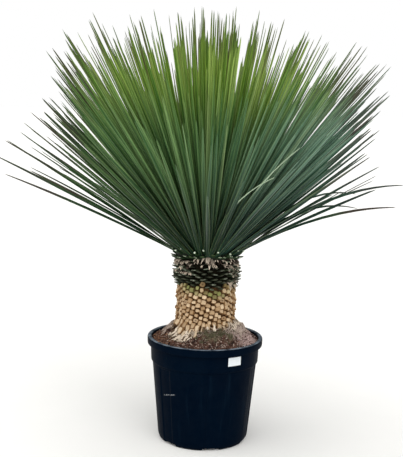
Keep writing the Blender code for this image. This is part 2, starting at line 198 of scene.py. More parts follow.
camera_data = bpy.data.cameras.new("camera")
camera_data.lens = CAMERA_LENS
camera_data.clip_end = CAMERA_REACH
camera = placed("camera", camera_data)
aim = Matrix.Rotation(math.radians(90.0 - CAMERA_DOWN), 4, "X")
roll = Matrix.Rotation(math.radians(CAMERA_ROLL), 4, "Z")
camera.matrix_world = Matrix.Translation(CAMERA_PLACE) @ aim @ roll
bpy.context.scene.camera = camera


# The pot: one injection moulding in black polypropylene, with a rolled rim, a lip that hangs free
# of a smooth band, a ledge, six shallow flutes, and a drainage channel under each flute.
UNDER_LIP = 0.3375
WALL_TOP = (0.172, 0.2635)
WALL_FOOT = (0.150, 0.0275)
WALL = 0.004
FLUTES = 6
FLUTE_CENTRE = 11.0
FLUTE_HALF = 8.5
FLUTE_DEPTH = 0.0022
FLUTE_TOP = 0.2595
# Half of one flute's share of the pot: where its columns stand, closest where shapes begin.
FLUTE_COLUMNS = [0.0, 2.5, 5.0, 6.6, 7.4, 8.0, 8.5, 9.2, 10.4, 11.3, 11.7, 13.0, 15.0, 17.5, 20.0, 22.5]
FLUTE_COLUMNS += [25.0, 27.5]
CHANNEL_HALF = 11.5
CHANNEL_HEIGHT = 0.008
CHANNEL_START = 0.085
DRAIN_RADIUS = 0.006
DRAIN_AT = 0.112
DRAIN_SIDES = 28


def polar(radius, angle, z):
    """A point at an angle from the front, in radians."""
    return Vector((radius * math.sin(angle), -radius * math.cos(angle), z))


def ease(x, low, high):
    """Rises smoothly from 0 at low to 1 at high."""
    share = min(1.0, max(0.0, (x - low) / (high - low)))
    return share * share * (3.0 - 2.0 * share)


def skin(around, rings):
    """The faces of a closed body: an end point, rings of points, and an end point again."""
    faces = [(0, 1 + (i + 1) % around, 1 + i) for i in range(around)]
    for ring in range(rings - 1):
        low = 1 + ring * around
        for i in range(around):
            j = (i + 1) % around
            faces.append((low + i, low + j, low + around + j, low + around + i))
    low = 1 + (rings - 1) * around
    faces += [(low + around, low + i, low + (i + 1) % around) for i in range(around)]
    return faces


def turned(name, first, rings, last, columns, point):
    """A closed round body between the heights first and last. point gives each ring's points."""
    body = [Vector((0.0, 0.0, first))]
    for ring in rings:
        body += [point(ring, column) for column in columns]
    body.append(Vector((0.0, 0.0, last)))
    made = bpy.data.meshes.new(name)
    made.from_pydata(body, [], skin(len(columns), len(rings)))
    return made


def dress(name, mesh, finish, slot, *nodes, crease=50.0):
    """Puts a piece in the scene. It rides on the one body, and stands for the nodes named."""
    bm = bmesh.new()
    bm.from_mesh(mesh)
    bmesh.ops.recalc_face_normals(bm, faces=bm.faces)
    bm.to_mesh(mesh)
    bm.free()
    mesh.shade_smooth()
    mesh.set_sharp_from_angle(angle=math.radians(crease))
    mesh.materials.append(finish)
    made = placed(name, mesh)
    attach(made, "root")
    if nodes:
        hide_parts(*nodes)
    return made


def axis_of(wire, axis):
    """One axis of a vector."""
    return node(tree_of(wire), "SeparateXYZ", {"Vector": wire}, output=axis)


def new_group(name, number, **inputs):
    """A shader node group that gives a colour and a number. An input's usual value tells its kind:
    a colour, a number, or None for a vector."""
    made = bpy.data.node_groups.new(name, "ShaderNodeTree")
    for socket, value in {"Place": None, **inputs}.items():
        kind = "Vector" if value is None else "Color" if isinstance(value, tuple) else "Float"
        new = made.interface.new_socket(socket, in_out="INPUT", socket_type="NodeSocket" + kind)
        if value is not None:
            new.default_value = paint(*value) if kind == "Color" else value
    made.interface.new_socket("Colour", in_out="OUTPUT", socket_type="NodeSocketColor")
    made.interface.new_socket(number, in_out="OUTPUT", socket_type="NodeSocketFloat")
    given = {socket.name: Wire(socket) for socket in made.nodes.new("NodeGroupInput").outputs}
    return made, given, made.nodes.new("NodeGroupOutput").inputs


def through(group, where, **inputs):
    """Places a group in a material, and gives its colour and its number."""
    return node(tree_of(where), "Group", {"Place": where, **inputs}, output=(0, 1), node_tree=group)


def between(value, low, high):
    """Rises smoothly from 0 at low to 1 at high."""
    limits = {"Value": value, "From Min": low, "From Max": high}
    return node(tree_of(value), "MapRange", limits, interpolation_type="SMOOTHSTEP")


# Dust and painted sheen: a pale coat on faces that look up, in blotches, with a thin film of it everywhere.
dust_and_sheen, given, gives = new_group(
    "dust_and_sheen", "Share", Upward=0.0, Colour=(2, 12, 26), Dust=(124, 136, 148), Amount=0.5, Scale=30.0
)
blotches = between(cloud(given["Place"], given["Scale"], 5.0, 0.65), 0.26, 0.66)
film = maths("MAXIMUM", between(given["Upward"], 0.30, 0.95), 0.004)
share = blotches * film * given["Amount"]
feed(gives["Share"], share)
feed(gives["Colour"], mixed(share, given["Colour"], given["Dust"]))


def with_dust_and_sheen(where, **inputs):
    """Dust and painted sheen on a material's colour, by how far each face looks up."""
    normal = node(tree_of(where), "NewGeometry", output="Normal")
    return through(dust_and_sheen, where, Upward=axis_of(normal, "Z"), **inputs)


def pot_columns():
    """The pot's columns, as (angle, degrees from the middle of the nearest flute)."""
    turns = [-turn for turn in reversed(FLUTE_COLUMNS[1:])] + FLUTE_COLUMNS + [180.0 / FLUTES]
    middles = [FLUTE_CENTRE + i * 360.0 / FLUTES for i in range(FLUTES)]
    return [(math.radians(middle + turn), abs(turn)) for middle in middles for turn in turns]


def pot_point(ring, column):
    """One point of the pot's skin, moved in at a flute and up over a channel."""
    radius, z, inside = ring
    angle, turn = column
    if turn < CHANNEL_HALF + (2.0 if inside else 0.0) and radius > CHANNEL_START:
        z = max(z, CHANNEL_HEIGHT + (WALL if inside else 0.0))
    if not inside and z < FLUTE_TOP + 0.002:
        depth = FLUTE_DEPTH * (1.0 - ease(turn, FLUTE_HALF - 1.4, FLUTE_HALF + 0.6))
        depth *= 1.0 - ease(z, FLUTE_TOP - 0.004, FLUTE_TOP)
        radius -= depth * ease(radius, 0.142, 0.149)
    return polar(radius, angle, z)


def wall_radius(z):
    """The tapered outer wall, below the ledge."""
    (foot, foot_z), (top, top_z) = WALL_FOOT, WALL_TOP
    return foot + (top - foot) * (z - foot_z) / (top_z - foot_z)


# The pot's section, as (radius, height): out along the base, up outside, over the rim, down inside.
base = [(radius, 0.0) for radius in (0.03, 0.06, 0.0849, 0.0853, 0.105, 0.125, 0.1375)]
foot = [(0.1402, 0.0007), (0.1430, 0.0032), (0.1452, 0.0065), (0.1472, 0.0110), (0.1486, 0.0165)]
foot += [(0.1495, 0.0220)]
heights = [0.0275 + i * 0.0111 for i in range(21)] + [0.2540, 0.2562, 0.2580, 0.2595, 0.2612]
wall = [(wall_radius(z), z) for z in heights]
band = [
    (0.1722, 0.2637), (0.1742, 0.2643), (0.1757, 0.2655), (0.1764, 0.2672), (0.1767, 0.2700),
    (0.1773, 0.284), (0.1780, 0.300), (0.1787, 0.316), (0.1793, 0.330), (0.1796, 0.3360),
    (0.1803, 0.3372), (0.1815, UNDER_LIP),
]
lip = [
    (0.1850, UNDER_LIP), (0.1861, 0.3368), (0.1865, 0.3350), (0.1865, 0.3225), (0.1869, 0.3207),
    (0.1878, 0.3201), (0.1888, 0.3206), (0.1894, 0.3222), (0.1898, 0.3300), (0.1900, 0.3385),
    (0.1897, 0.3415), (0.1888, 0.3436), (0.1872, 0.3447), (0.1845, 0.3450), (0.1805, 0.3449),
    (0.1778, 0.3440), (0.1763, 0.3422), (0.1756, 0.3395),
]
inside = [
    (0.1755, 0.3370), (0.1740, 0.300), (0.1727, 0.2700), (0.1718, 0.2650), (0.1685, 0.2620),
    (0.1620, 0.190), (0.1540, 0.110), (0.1462, 0.0290), (0.1415, 0.0140), (0.1370, 0.0060),
    (0.1330, WALL), (0.110, WALL), (0.0850, WALL), (0.0835, WALL), (0.04, WALL),
]
outline = [(*point, False) for point in base + foot + wall + band + lip]
outline += [(*point, True) for point in inside]
pot_mesh = turned("pot_moulding", 0.0, outline, WALL, pot_columns(), pot_point)

finish, shader, where = new_material("black_pot_plastic", 0.42, 0.01)
navy = mixed(cloud(where, 7.0, 4.0), (0, 6, 20), (0, 13, 28))
# Painted highlight: the pale coat is strong here. It is dust on the wall and a painted sky reflection on the
# rim's top.
coloured, dust_sheen = with_dust_and_sheen(where, Colour=navy, Amount=1.0, Scale=34.0)
# Water has run down the wall and dried in faint upright streaks.
drawn_out = node(tree_of(where), "Mapping", {"Vector": where, "Scale": (42.0, 42.0, 2.2)})
streaks = between(cloud(drawn_out, 1.0, 4.0, 0.6), 0.56, 0.80)
coloured = mixed(streaks * 0.05, coloured, (56, 88, 112))
# A short pale scuff on the wall, left of the front, where the pot was rubbed.
SCUFF_FROM = polar(0.1645, math.radians(-54.0), 0.168)
SCUFF_TO = polar(0.1645, math.radians(-33.0), 0.182)
scuff_half = (SCUFF_TO - SCUFF_FROM).length / 2.0
scuff_line = (SCUFF_TO - SCUFF_FROM).normalized()
middle = {0: where, 1: (SCUFF_FROM + SCUFF_TO) / 2.0}
offset = node(tree_of(where), "VectorMath", middle, operation="SUBTRACT")
reach = node(tree_of(where), "VectorMath", {0: offset, 1: scuff_line}, "Value", operation="DOT_PRODUCT")
within = 1.0 - between(abs(reach), 0.6 * scuff_half, scuff_half)
wander = (cloud(where, 60.0, 2.0) - 0.5) * 0.006
aside = abs(axis_of(offset, "Z") - reach * scuff_line.z - wander)
near = 1.0 - between(aside, 0.0010, 0.0028)
broken = between(cloud(where, 150.0, 3.0, 0.7), 0.44, 0.60)
in_front = maths("LESS_THAN", axis_of(where, "Y"), 0.0)
coloured = mixed(within * near * broken * in_front * 0.85, coloured, (184, 188, 192))
roughness = cloud(where, 22.0, 5.0, 0.6) * 0.22 + 0.32 + dust_sheen * 0.3
grain = cloud(where, 420.0, 3.0) + cloud(where, 28.0, 2.0) * 1.6
coat(shader, coloured, grain, 0.00035, roughness)

pot = dress("pot_moulding", pot_mesh, finish, "pot_plastic", "pot", crease=30.0)
drills = bpy.data.collections.new("drain_drills")
bpy.context.scene.collection.children.link(drills)
drill_shape = {"segments": DRAIN_SIDES, "radius1": DRAIN_RADIUS, "radius2": DRAIN_RADIUS, "depth": 0.030}
for i in range(FLUTES):
    bm = bmesh.new()
    place = Matrix.Translation(polar(DRAIN_AT, math.radians(FLUTE_CENTRE + i * 360.0 / FLUTES), 0.010))
    bmesh.ops.create_cone(bm, cap_ends=True, matrix=place, **drill_shape)
    drill_mesh = bpy.data.meshes.new(f"drain_drill_{i}")
    bm.to_mesh(drill_mesh)
    bm.free()
    drills.objects.link(bpy.data.objects.new(f"drain_drill_{i}", drill_mesh))
cut = pot.modifiers.new("drain_holes", "BOOLEAN")
cut.operation = "DIFFERENCE"
cut.operand_type = "COLLECTION"
cut.collection = drills
cut.solver = "EXACT"
drilled = bpy.data.meshes.new_from_object(pot.evaluated_get(bpy.context.evaluated_depsgraph_get()))
pot.modifiers.clear()
pot.data = drilled
for drill in list(drills.objects):
    bpy.data.objects.remove(drill)
bpy.data.collections.remove(drills)


# The label: a small blank rectangle of white paper, stuck on the band right of the front. Its
# adhesive has let go a little at one corner.
LABEL_WIDE = 0.047
LABEL_TALL = 0.028
LABEL_MIDDLE = 0.3005
LABEL_ANGLE = math.radians(32.3)
LABEL_GAP = 0.0003
PAPER = 0.0003
LABEL_COLUMNS = 30
LABEL_ROWS = 16
LABEL_CURL = 0.0011
LABEL_RIPPLE = 0.00012
# The band under it: radius and height at its foot, and how much wider it is how far up.
BAND_FOOT = (0.1767, 0.270)
BAND_WIDENS = (0.0029, 0.066)
BAND_MIDDLE = 0.178


def label_point(across, up, lift):
    """A point on the paper. across and up run from -0.5 to 0.5."""
    z = LABEL_MIDDLE + up * LABEL_TALL
    radius = BAND_FOOT[0] + (z - BAND_FOOT[1]) / BAND_WIDENS[1] * BAND_WIDENS[0] + LABEL_GAP + lift
    curl = ease(across - up, 0.72, 1.0) * LABEL_CURL
    ripple = LABEL_RIPPLE * (1.0 + math.sin(across * 17.0 + up * 5.0))
    return polar(radius + curl + ripple, LABEL_ANGLE + across * LABEL_WIDE / BAND_MIDDLE, z)


rows = []
for i in range(LABEL_COLUMNS + 1):
    across = i / LABEL_COLUMNS - 0.5
    front = [label_point(across, j / LABEL_ROWS - 0.5, PAPER) for j in range(LABEL_ROWS + 1)]
    rows.append(front + [label_point(across, 0.5 - j / LABEL_ROWS, 0.0) for j in range(LABEL_ROWS + 1)])
ring = len(rows[0])
first, last = (sum(row, Vector()) / ring for row in (rows[0], rows[-1]))
label_mesh = bpy.data.meshes.new("label")
label_mesh.from_pydata([first] + sum(rows, []) + [last], [], skin(ring, len(rows)))
finish, shader, where = new_material("label_paper", 0.6, 0.35)
pulp = mixed(cloud(where, 260.0, 5.0, 0.7), (214, 221, 226), (232, 237, 240))
coloured = with_dust_and_sheen(where, Colour=pulp, Dust=(150, 150, 148), Amount=2.4, Scale=70.0)[0]
coat(shader, coloured, cloud(where, 900.0, 4.0), 0.0001)
dress("paper_label", label_mesh, finish, "label_paper", "label")


# The soil: brown peat and loam that fills the pot to a centimetre under the rim, and rises in lumps
# to the stem. Watering has packed its top and left it cracked and crumbly.
SOIL_EDGE = (0.1752, 0.335)
SOIL_SOCKET = 0.1138
SOCKET_FLOOR = 0.2497
SOIL_FLOOR = 0.0130
SOIL_SLOPE = [(0.1138, 0.379), (0.127, 0.370), (0.138, 0.360), (0.150, 0.350), (0.163, 0.341), SOIL_EDGE]
SOIL_BURIED = [(0.1722, 0.268), (0.1676, 0.260), (0.146, 0.030), (0.1400, SOIL_FLOOR), (0.06, SOIL_FLOOR)]
SOIL_COLUMNS = 300
SOIL_RINGS = 46
# Lumps in its top: height, fineness, and where their pattern starts.
SOIL_LUMPS = [(0.006, 55.0, (0.0, 0.0, 0.0)), (0.0026, 150.0, (3.1, 0.0, 0.0))]
SOIL_LUMPS += [(0.0014, 330.0, (0.0, 7.7, 0.0))]
# Where the top is heaped higher or dips: angle, radius, spread and rise.
SOIL_HEAPS = [
    (-122.0, 0.135, 0.034, 0.004),
    (-96.0, 0.116, 0.042, -0.012),
    (-44.0, 0.121, 0.026, -0.012),
    (12.0, 0.112, 0.030, 0.013),
    (40.0, 0.112, 0.030, 0.012),
    (78.0, 0.122, 0.034, 0.011),
]


def along(points, x):
    """The value at x on a line through (x, value) points, which run upwards in x."""
    for (x0, v0), (x1, v1) in zip(points, points[1:]):
        if x <= x1:
            return v0 + (v1 - v0) * max(0.0, x - x0) / (x1 - x0)
    return points[-1][1]


def soil_top(radius, angle):
    """The height of the soil's surface at a radius and an angle."""
    point = polar(radius, angle, along(SOIL_SLOPE, radius))
    calm = 1.0 - 0.8 * ease(radius, 0.160, 0.175)
    lumps = sum(high * noise.noise(point * fine + Vector(start)) for high, fine, start in SOIL_LUMPS)
    for heap_angle, heap_radius, spread, rise in SOIL_HEAPS:
        off = (point - polar(heap_radius, math.radians(heap_angle), point.z)).length
        lumps += rise * math.exp(-((off / spread) ** 2))
    return point.z + lumps * calm


def soil_point(ring, angle):
    """A point of the soil. A ring without a height lies on top."""
    radius, z = ring
    return polar(radius, angle, soil_top(radius, angle) if z is None else z)


def round_angles(count):
    """Even angles all the way round."""
    return [i * 2.0 * math.pi / count for i in range(count)]


steps = [SOIL_SOCKET + (SOIL_EDGE[0] - SOIL_SOCKET) * i / (SOIL_RINGS - 1) for i in range(SOIL_RINGS)]
rings = [(SOIL_SOCKET, SOCKET_FLOOR)] + [(radius, None) for radius in steps] + SOIL_BURIED
soil_mesh = turned("potting_soil", SOCKET_FLOOR, rings, SOIL_FLOOR, round_angles(SOIL_COLUMNS), soil_point)

# Earth: a ground colour with darker damp patches and pale specks, in relief.
crumbly_earth, given, gives = new_group(
    "crumbly_earth", "Relief", Tone=0.5, Light=(98, 71, 61), Dark=(27, 16, 14), Speck=(176, 158, 146)
)
coarse = cloud(given["Place"], 75.0, 5.0, 0.7)
fine = cloud(given["Place"], 420.0, 4.0, 0.7)
ground = mixed(between(coarse, 0.34, 0.66), given["Dark"], given["Light"])
ground = mixed(given["Tone"] * 0.55, ground, given["Light"])
cells = node(crumbly_earth, "TexVoronoi", {"Vector": given["Place"], "Scale": 330.0}, output="Color")
specks = between(node(crumbly_earth, "SeparateColor", {"Color": cells}), 0.90, 0.95)
feed(gives["Colour"], mixed(specks, ground, given["Speck"]))
feed(gives["Relief"], coarse + fine * 0.6)


def patch(where, angle, radius, z, inner, outer):
    """1 within inner metres of a point on the soil, and 0 beyond outer, with a ragged edge."""
    ends = {0: where, 1: polar(radius, math.radians(angle), z)}
    off = node(tree_of(where), "VectorMath", ends, output="Value", operation="DISTANCE")
    ragged = (cloud(where, 55.0, 4.0, 0.7) - 0.5) * 0.09
    return 1.0 - between(off + ragged, inner, outer)


finish, shader, where = new_material("potting_soil", 0.95, 0.15)
coloured, relief = through(crumbly_earth, where, Tone=0.0)
front_moss = patch(where, 8.0, 0.122, 0.374, 0.014, 0.040)
mossy = maths("MAXIMUM", front_moss, patch(where, 36.0, 0.126, 0.370, 0.008, 0.036))
soft = mixed(between(cloud(where, 210.0, 5.0, 0.75), 0.36, 0.64), (20, 18, 9), (126, 119, 96))
coloured = mixed(mossy * 0.85, coloured, soft)
sandy = patch(where, 68.0, 0.140, 0.362, 0.042, 0.072)
sand = mixed(between(cloud(where, 260.0, 4.0, 0.75), 0.34, 0.64), (112, 86, 82), (236, 208, 202))
coloured = mixed(sandy * 0.85, coloured, sand)
bark_dust = patch(where, -74.0, 0.160, 0.346, 0.010, 0.040)
coloured = mixed(bark_dust * 0.35, coloured, (132, 92, 68))
coat(shader, coloured, relief, 0.0022)
dress("soil_fill", soil_mesh, finish, "potting_soil", "soil", crease=80.0)


# Loose bits on the soil: crumbs of earth, flakes of composted bark at the left, and pale grit that
# washes out on the right. They lie where they fell.
# Rows: how many, the angles and radii between which they lie, smallest and largest size, thickness.
CRUMB_ROWS = [(1500, -180.0, 180.0, 0.116, 0.172, 0.0016, 0.0070, 0.9)]
BARK_ROWS = [
    (210, -105.0, -48.0, 0.138, 0.172, 0.003, 0.010, 0.4),
    (70, -40.0, 320.0, 0.125, 0.172, 0.003, 0.010, 0.35),
]
GRIT_ROWS = [
    (620, 44.0, 108.0, 0.112, 0.172, 0.0014, 0.0056, 0.85),
    (120, -180.0, 180.0, 0.120, 0.172, 0.0014, 0.0042, 0.85),
]
BIT_SIDES = 6
SMALL_BITS = 2.2


class Pile:
    """Points, faces and marks of a piece that is made of many small bodies."""

    def __init__(self, *marks):
        self.points, self.faces, self.marks = [], [], {mark: [] for mark in marks}

    def add(self, points, faces, **marks):
        """Adds one body. A mark is one number for all of it, or a list with one for each point."""
        start = len(self.points)
        self.points += points
        self.faces += [tuple(start + i for i in face) for face in faces]
        for mark, value in marks.items():
            self.marks[mark] += value if isinstance(value, list) else [value] * len(points)

    def mesh(self, name):
        """The whole pile as one mesh, which keeps the marks for its material."""
        made = bpy.data.meshes.new(name)
        made.from_pydata(self.points, [], self.faces)
        for mark, values in self.marks.items():
            made.attributes.new(mark, "FLOAT", "POINT").data.foreach_set("value", values)
        return made


def marks_of(where, *names):
    """What a material reads of a pile's marks."""
    return [node(tree_of(where), "Attribute", output="Fac", attribute_name=name) for name in names]


def bit(centre, size, flat, draw):
    """The points of a small irregular lump, flattened by flat."""
    turn = Matrix.Rotation(draw.uniform(0.0, 6.28), 3, "Z") @ Matrix.Rotation(draw.uniform(-0.5, 0.5), 3, "X")
    body = [Vector((0.0, 0.0, -0.5 * flat))]
    for level, wide in ((-0.28, 0.42), (0.24, 0.40)):
        for i in range(BIT_SIDES):
            angle = i * math.pi / 3.0 + draw.uniform(-0.25, 0.25)
            out = wide * draw.uniform(0.75, 1.2)
            body.append(Vector((out * math.cos(angle), 0.72 * out * math.sin(angle), level * flat)))
    body.append(Vector((0.0, 0.0, 0.5 * flat)))
    return [centre + turn @ point * size for point in body]


def scattered(rows, draw):
    """A pile of bits, dropped on the soil by rows."""
    pile = Pile("tone")
    for count, low_angle, high_angle, near, far, small, large, flat in rows:
        for _ in range(count):
            angle = math.radians(draw.uniform(low_angle, high_angle))
            radius = math.sqrt(draw.uniform(near * near, far * far))
            size = small + (large - small) * draw.random() ** SMALL_BITS
            centre = polar(radius, angle, soil_top(radius, angle) + 0.22 * size * flat)
            tone = draw.random()
            pile.add(bit(centre, size, flat, draw), skin(BIT_SIDES, 2), tone=tone)
    return pile


draw = random.Random(21)
finish, shader, where = new_material("soil_crumbs", 0.95, 0.15)
(tone,) = marks_of(where, "tone")
coloured, relief = through(crumbly_earth, where, Tone=tone)
coat(shader, coloured, relief, 0.0012)
dress("soil_crumbs", scattered(CRUMB_ROWS, draw).mesh("soil_crumbs"), finish, "potting_soil", crease=60.0)

finish, shader, where = new_material("composted_bark", 0.85, 0.25)
(tone,) = marks_of(where, "tone")
shade = mixed(tone, (70, 46, 34), (170, 122, 88))
shade = mixed(cloud(where, 500.0, 4.0), shade, (84, 54, 38), "MULTIPLY")
shade = mixed(0.45, shade, mixed(tone, (84, 60, 46), (176, 130, 98)))
coat(shader, shade, cloud(where, 700.0, 4.0), 0.0006)
dress("bark_flakes", scattered(BARK_ROWS, draw).mesh("bark_flakes"), finish, "potting_soil", crease=35.0)

finish, shader, where = new_material("pale_grit", 0.8, 0.35)
(tone,) = marks_of(where, "tone")
stone = mixed(tone, (150, 124, 118), (232, 212, 206))
stone = mixed(cloud(where, 800.0, 4.0) * 0.5, stone, (92, 78, 72))
coat(shader, stone, cloud(where, 900.0, 3.0), 0.0004)
dress("pale_grit", scattered(GRIT_ROWS, draw).mesh("pale_grit"), finish, "potting_soil")


# Moss: a thin grey-green cushion of short shoots that has grown on the damp soil in front of the
# stem and a little to its right.
MOSS_SHOOTS = 3600
MOSS_ANGLES = (-20.0, 62.0)
MOSS_RADII = (0.114, 0.148)
MOSS_MIDDLE = 18.0
SHOOT_LENGTHS = (0.002, 0.0052)
SHOOT_WIDTHS = (0.0003, 0.0007)


def shoot(pile, foot, lean, length, width, **marks):
    """One three-sided pointed shoot."""
    side = lean.cross(Vector((0.3, 0.2, 1.0))).normalized() * width
    other = lean.cross(side).normalized() * width
    ring = [foot + side, foot - 0.5 * side + 0.87 * other, foot - 0.5 * side - 0.87 * other]
    pile.add([foot - lean * 0.001] + ring + [foot + lean * length], skin(3, 1), **marks)


moss = Pile("tone")
draw = random.Random(5)
while len(moss.points) < 5 * MOSS_SHOOTS:
    angle = math.radians(draw.uniform(*MOSS_ANGLES))
    radius = draw.uniform(*MOSS_RADII)
    point = polar(radius, angle, 0.0)
    thick = 1.8 * noise.noise(Vector((point.x * 78.0, point.y * 78.0, 0.4))) + 0.02
    aside = abs(math.degrees(angle) - MOSS_MIDDLE)
    thick -= 0.6 * ease(radius, 0.124, 0.148) + 0.35 * ease(aside, 22.0, 42.0)
    if draw.random() < 2.2 * thick:
        point.z = soil_top(radius, angle) + 0.001
        lean = Vector((draw.uniform(-0.6, 0.6), draw.uniform(-0.6, 0.6), 1.0)).normalized()
        size = draw.uniform(*SHOOT_LENGTHS), draw.uniform(*SHOOT_WIDTHS)
        shoot(moss, point, lean, *size, tone=draw.random())
finish, shader, where = new_material("grey_moss", 0.9, 0.2)
(tone,) = marks_of(where, "tone")
green = mixed(tone, (38, 37, 20), (160, 152, 124))
coat(shader, mixed(cloud(where, 60.0, 3.0), green, (62, 60, 36)), cloud(where, 900.0), 0.0003)
dress("moss_shoots", moss.mesh("moss_shoots"), finish, "potting_soil", crease=60.0)


# The trunk: one stout stem. Under its leaf bases it is dark, matted fibre, painted near black under the
# collar as shade.
# It stands in the soil and flares at its foot, and it carries the cut leaf bases of every year's growth, set
# in a spiral.
TRUNK_FOOT = 0.2503
STEM_TOP = 0.524
COLLAR_TOP = 0.6127
CORE_GAP = 0.0003
# Its radius by height.
TRUNK = [(0.250, 0.1129), (0.358, 0.1129), (0.372, 0.1105), (0.385, 0.1000), (0.398, 0.0930)]
TRUNK += [(0.415, 0.0900), (0.524, 0.0900), (0.556, 0.0885), (0.596, 0.0888), (0.613, 0.0905)]
TRUNK_COLUMNS = 132
TRUNK_PITCH = 0.0035
TRUNK_SHAG = 0.0014


def trunk_point(z, angle):
    """A point of the trunk's shaggy core."""
    point = polar(1.0, angle, z)
    rough = noise.noise(Vector((point.x * 9.0, point.y * 9.0, z * 130.0)))
    shaggy = TRUNK_SHAG * rough * ease(z, 0.372, 0.39)
    return polar(along(TRUNK, z) + shaggy, angle, z)


def trunk_core(name, low, high):
    """A length of the trunk's core."""
    rings = int((high - low) / TRUNK_PITCH) + 2
    heights = [low + (high - low) * ring / (rings - 1) for ring in range(rings)]
    return turned(name, low, heights, high, round_angles(TRUNK_COLUMNS), trunk_point)


# Plant fibre: fine lines that run one way, with lighter and darker bundles.
plant_fibre, given, gives = new_group(
    "plant_fibre", "Relief", Stretch=None, Dark=(60, 40, 24), Light=(180, 140, 96), Balance=0.5
)
factors = {0: given["Place"], 1: given["Stretch"]}
bundles = cloud(node(plant_fibre, "VectorMath", factors, operation="MULTIPLY"), 1.0, 5.0, 0.65)
balance = 1.0 - given["Balance"]
light = between(bundles, balance - 0.22, balance + 0.22)
feed(gives["Colour"], mixed(light, given["Dark"], given["Light"]))
feed(gives["Relief"], bundles)


def fibrous(where, across, upright, dark, light, balance):
    """The colour and relief of plant fibre. across and upright tell how fine its lines are."""
    stretch = (across, across, upright)
    return through(plant_fibre, where, Stretch=stretch, Dark=dark, Light=light, Balance=balance)


finish, shader, where = new_material("matted_trunk_fibre", 0.95, 0.15)
coat(shader, *fibrous(where, 260.0, 60.0, (30, 18, 7), (96, 66, 36), 0.45), 0.0015)
dress("stem_core", trunk_core("stem_core", TRUNK_FOOT, STEM_TOP), finish, "dry_leaf_bases", crease=60.0)
# Painted shade: the core in the collar is coloured near black for the shade in the gaps between the tongues.
finish, shader, where = new_material("collar_fibre_and_painted_shade", 0.95, 0.1)
coat(shader, *fibrous(where, 260.0, 60.0, (5, 5, 2), (40, 34, 22), 0.4), 0.0015)
core = trunk_core("collar_core", STEM_TOP + CORE_GAP, COLLAR_TOP)
dress("collar_core", core, finish, "green_leaf_stubs", crease=60.0)


# Dry leaf bases: each old leaf was trimmed close to the trunk, and its cut end dried to a rounded
# tan tile with a brown edge. The tiles stand in leaning columns, and the newest are still greenish.
BASE_COLUMNS = 37
BASE_WRAP = 16
ROW_RISE = 0.0168
ROW_TURN = 0.033
BASE_LOW = 0.340
BASE_HIGH = 0.606
BASE_SIDES = 12
BASE_BURIED = 0.007
HOLLOW_SHARE = 0.10
TILE_WIDE = 0.0164
TILE_TALL = 0.0148
TILE_REACH = 0.0066
# The height where the dry tiles end, by degrees from the front: lower where the trim is more recent.
TILE_LIMITS = [(-180.0, 0.519), (-90.0, 0.519), (-66.0, 0.527), (-10.0, 0.531), (0.0, 0.520), (24.0, 0.514)]
TILE_LIMITS += [(44.0, 0.525), (90.0, 0.519), (180.0, 0.519)]
# How green their ends still are, likewise, and how much of that each one has.
TILE_GREENS = [(-70.0, 0.0), (-42.0, 1.0), (30.0, 1.0), (60.0, 0.15), (130.0, 0.6), (180.0, 0.2)]
GREEN_SHARES = (1.0, 1.0, 0.9, 0.7, 0.2)
# At the front left the lowest bases spread out over the soil: radius by height.
SPREAD_MIDDLE = -35.0
SPREAD_FOOT = [(0.345, 0.1240), (0.362, 0.1200), (0.376, 0.1130), (0.392, 0.1000), (0.405, 0.0915)]


def base_sites(draw):
    """Where the leaf bases stand, as (angle, height). The columns close up after a whole turn."""
    sites = []
    column_turn = (2.0 * math.pi - BASE_WRAP * ROW_TURN) / BASE_COLUMNS
    column_drop = ROW_RISE * BASE_WRAP / BASE_COLUMNS
    for column in range(BASE_COLUMNS):
        for row in range(int((BASE_HIGH - BASE_LOW) / ROW_RISE) + BASE_WRAP + 1):
            angle = column * column_turn + row * ROW_TURN + draw.uniform(-0.020, 0.020)
            height = BASE_LOW - column * column_drop + row * ROW_RISE
            if BASE_LOW - 0.5 * ROW_RISE <= height <= BASE_HIGH:
                sites.append((angle, height + draw.uniform(-0.0017, 0.0017)))
    return sites


def from_front(angle):
    """An angle in degrees from the front, -180 to 180."""
    return (math.degrees(angle) + 180.0) % 360.0 - 180.0


def sideways_at(angle):
    """The level way along the trunk's skin."""
    return Vector((math.cos(angle), math.sin(angle), 0.0))


def squared(value, square):
    """A sine or cosine for a rounder or squarer ring."""
    return math.copysign(abs(value) ** (2.0 / square), value)


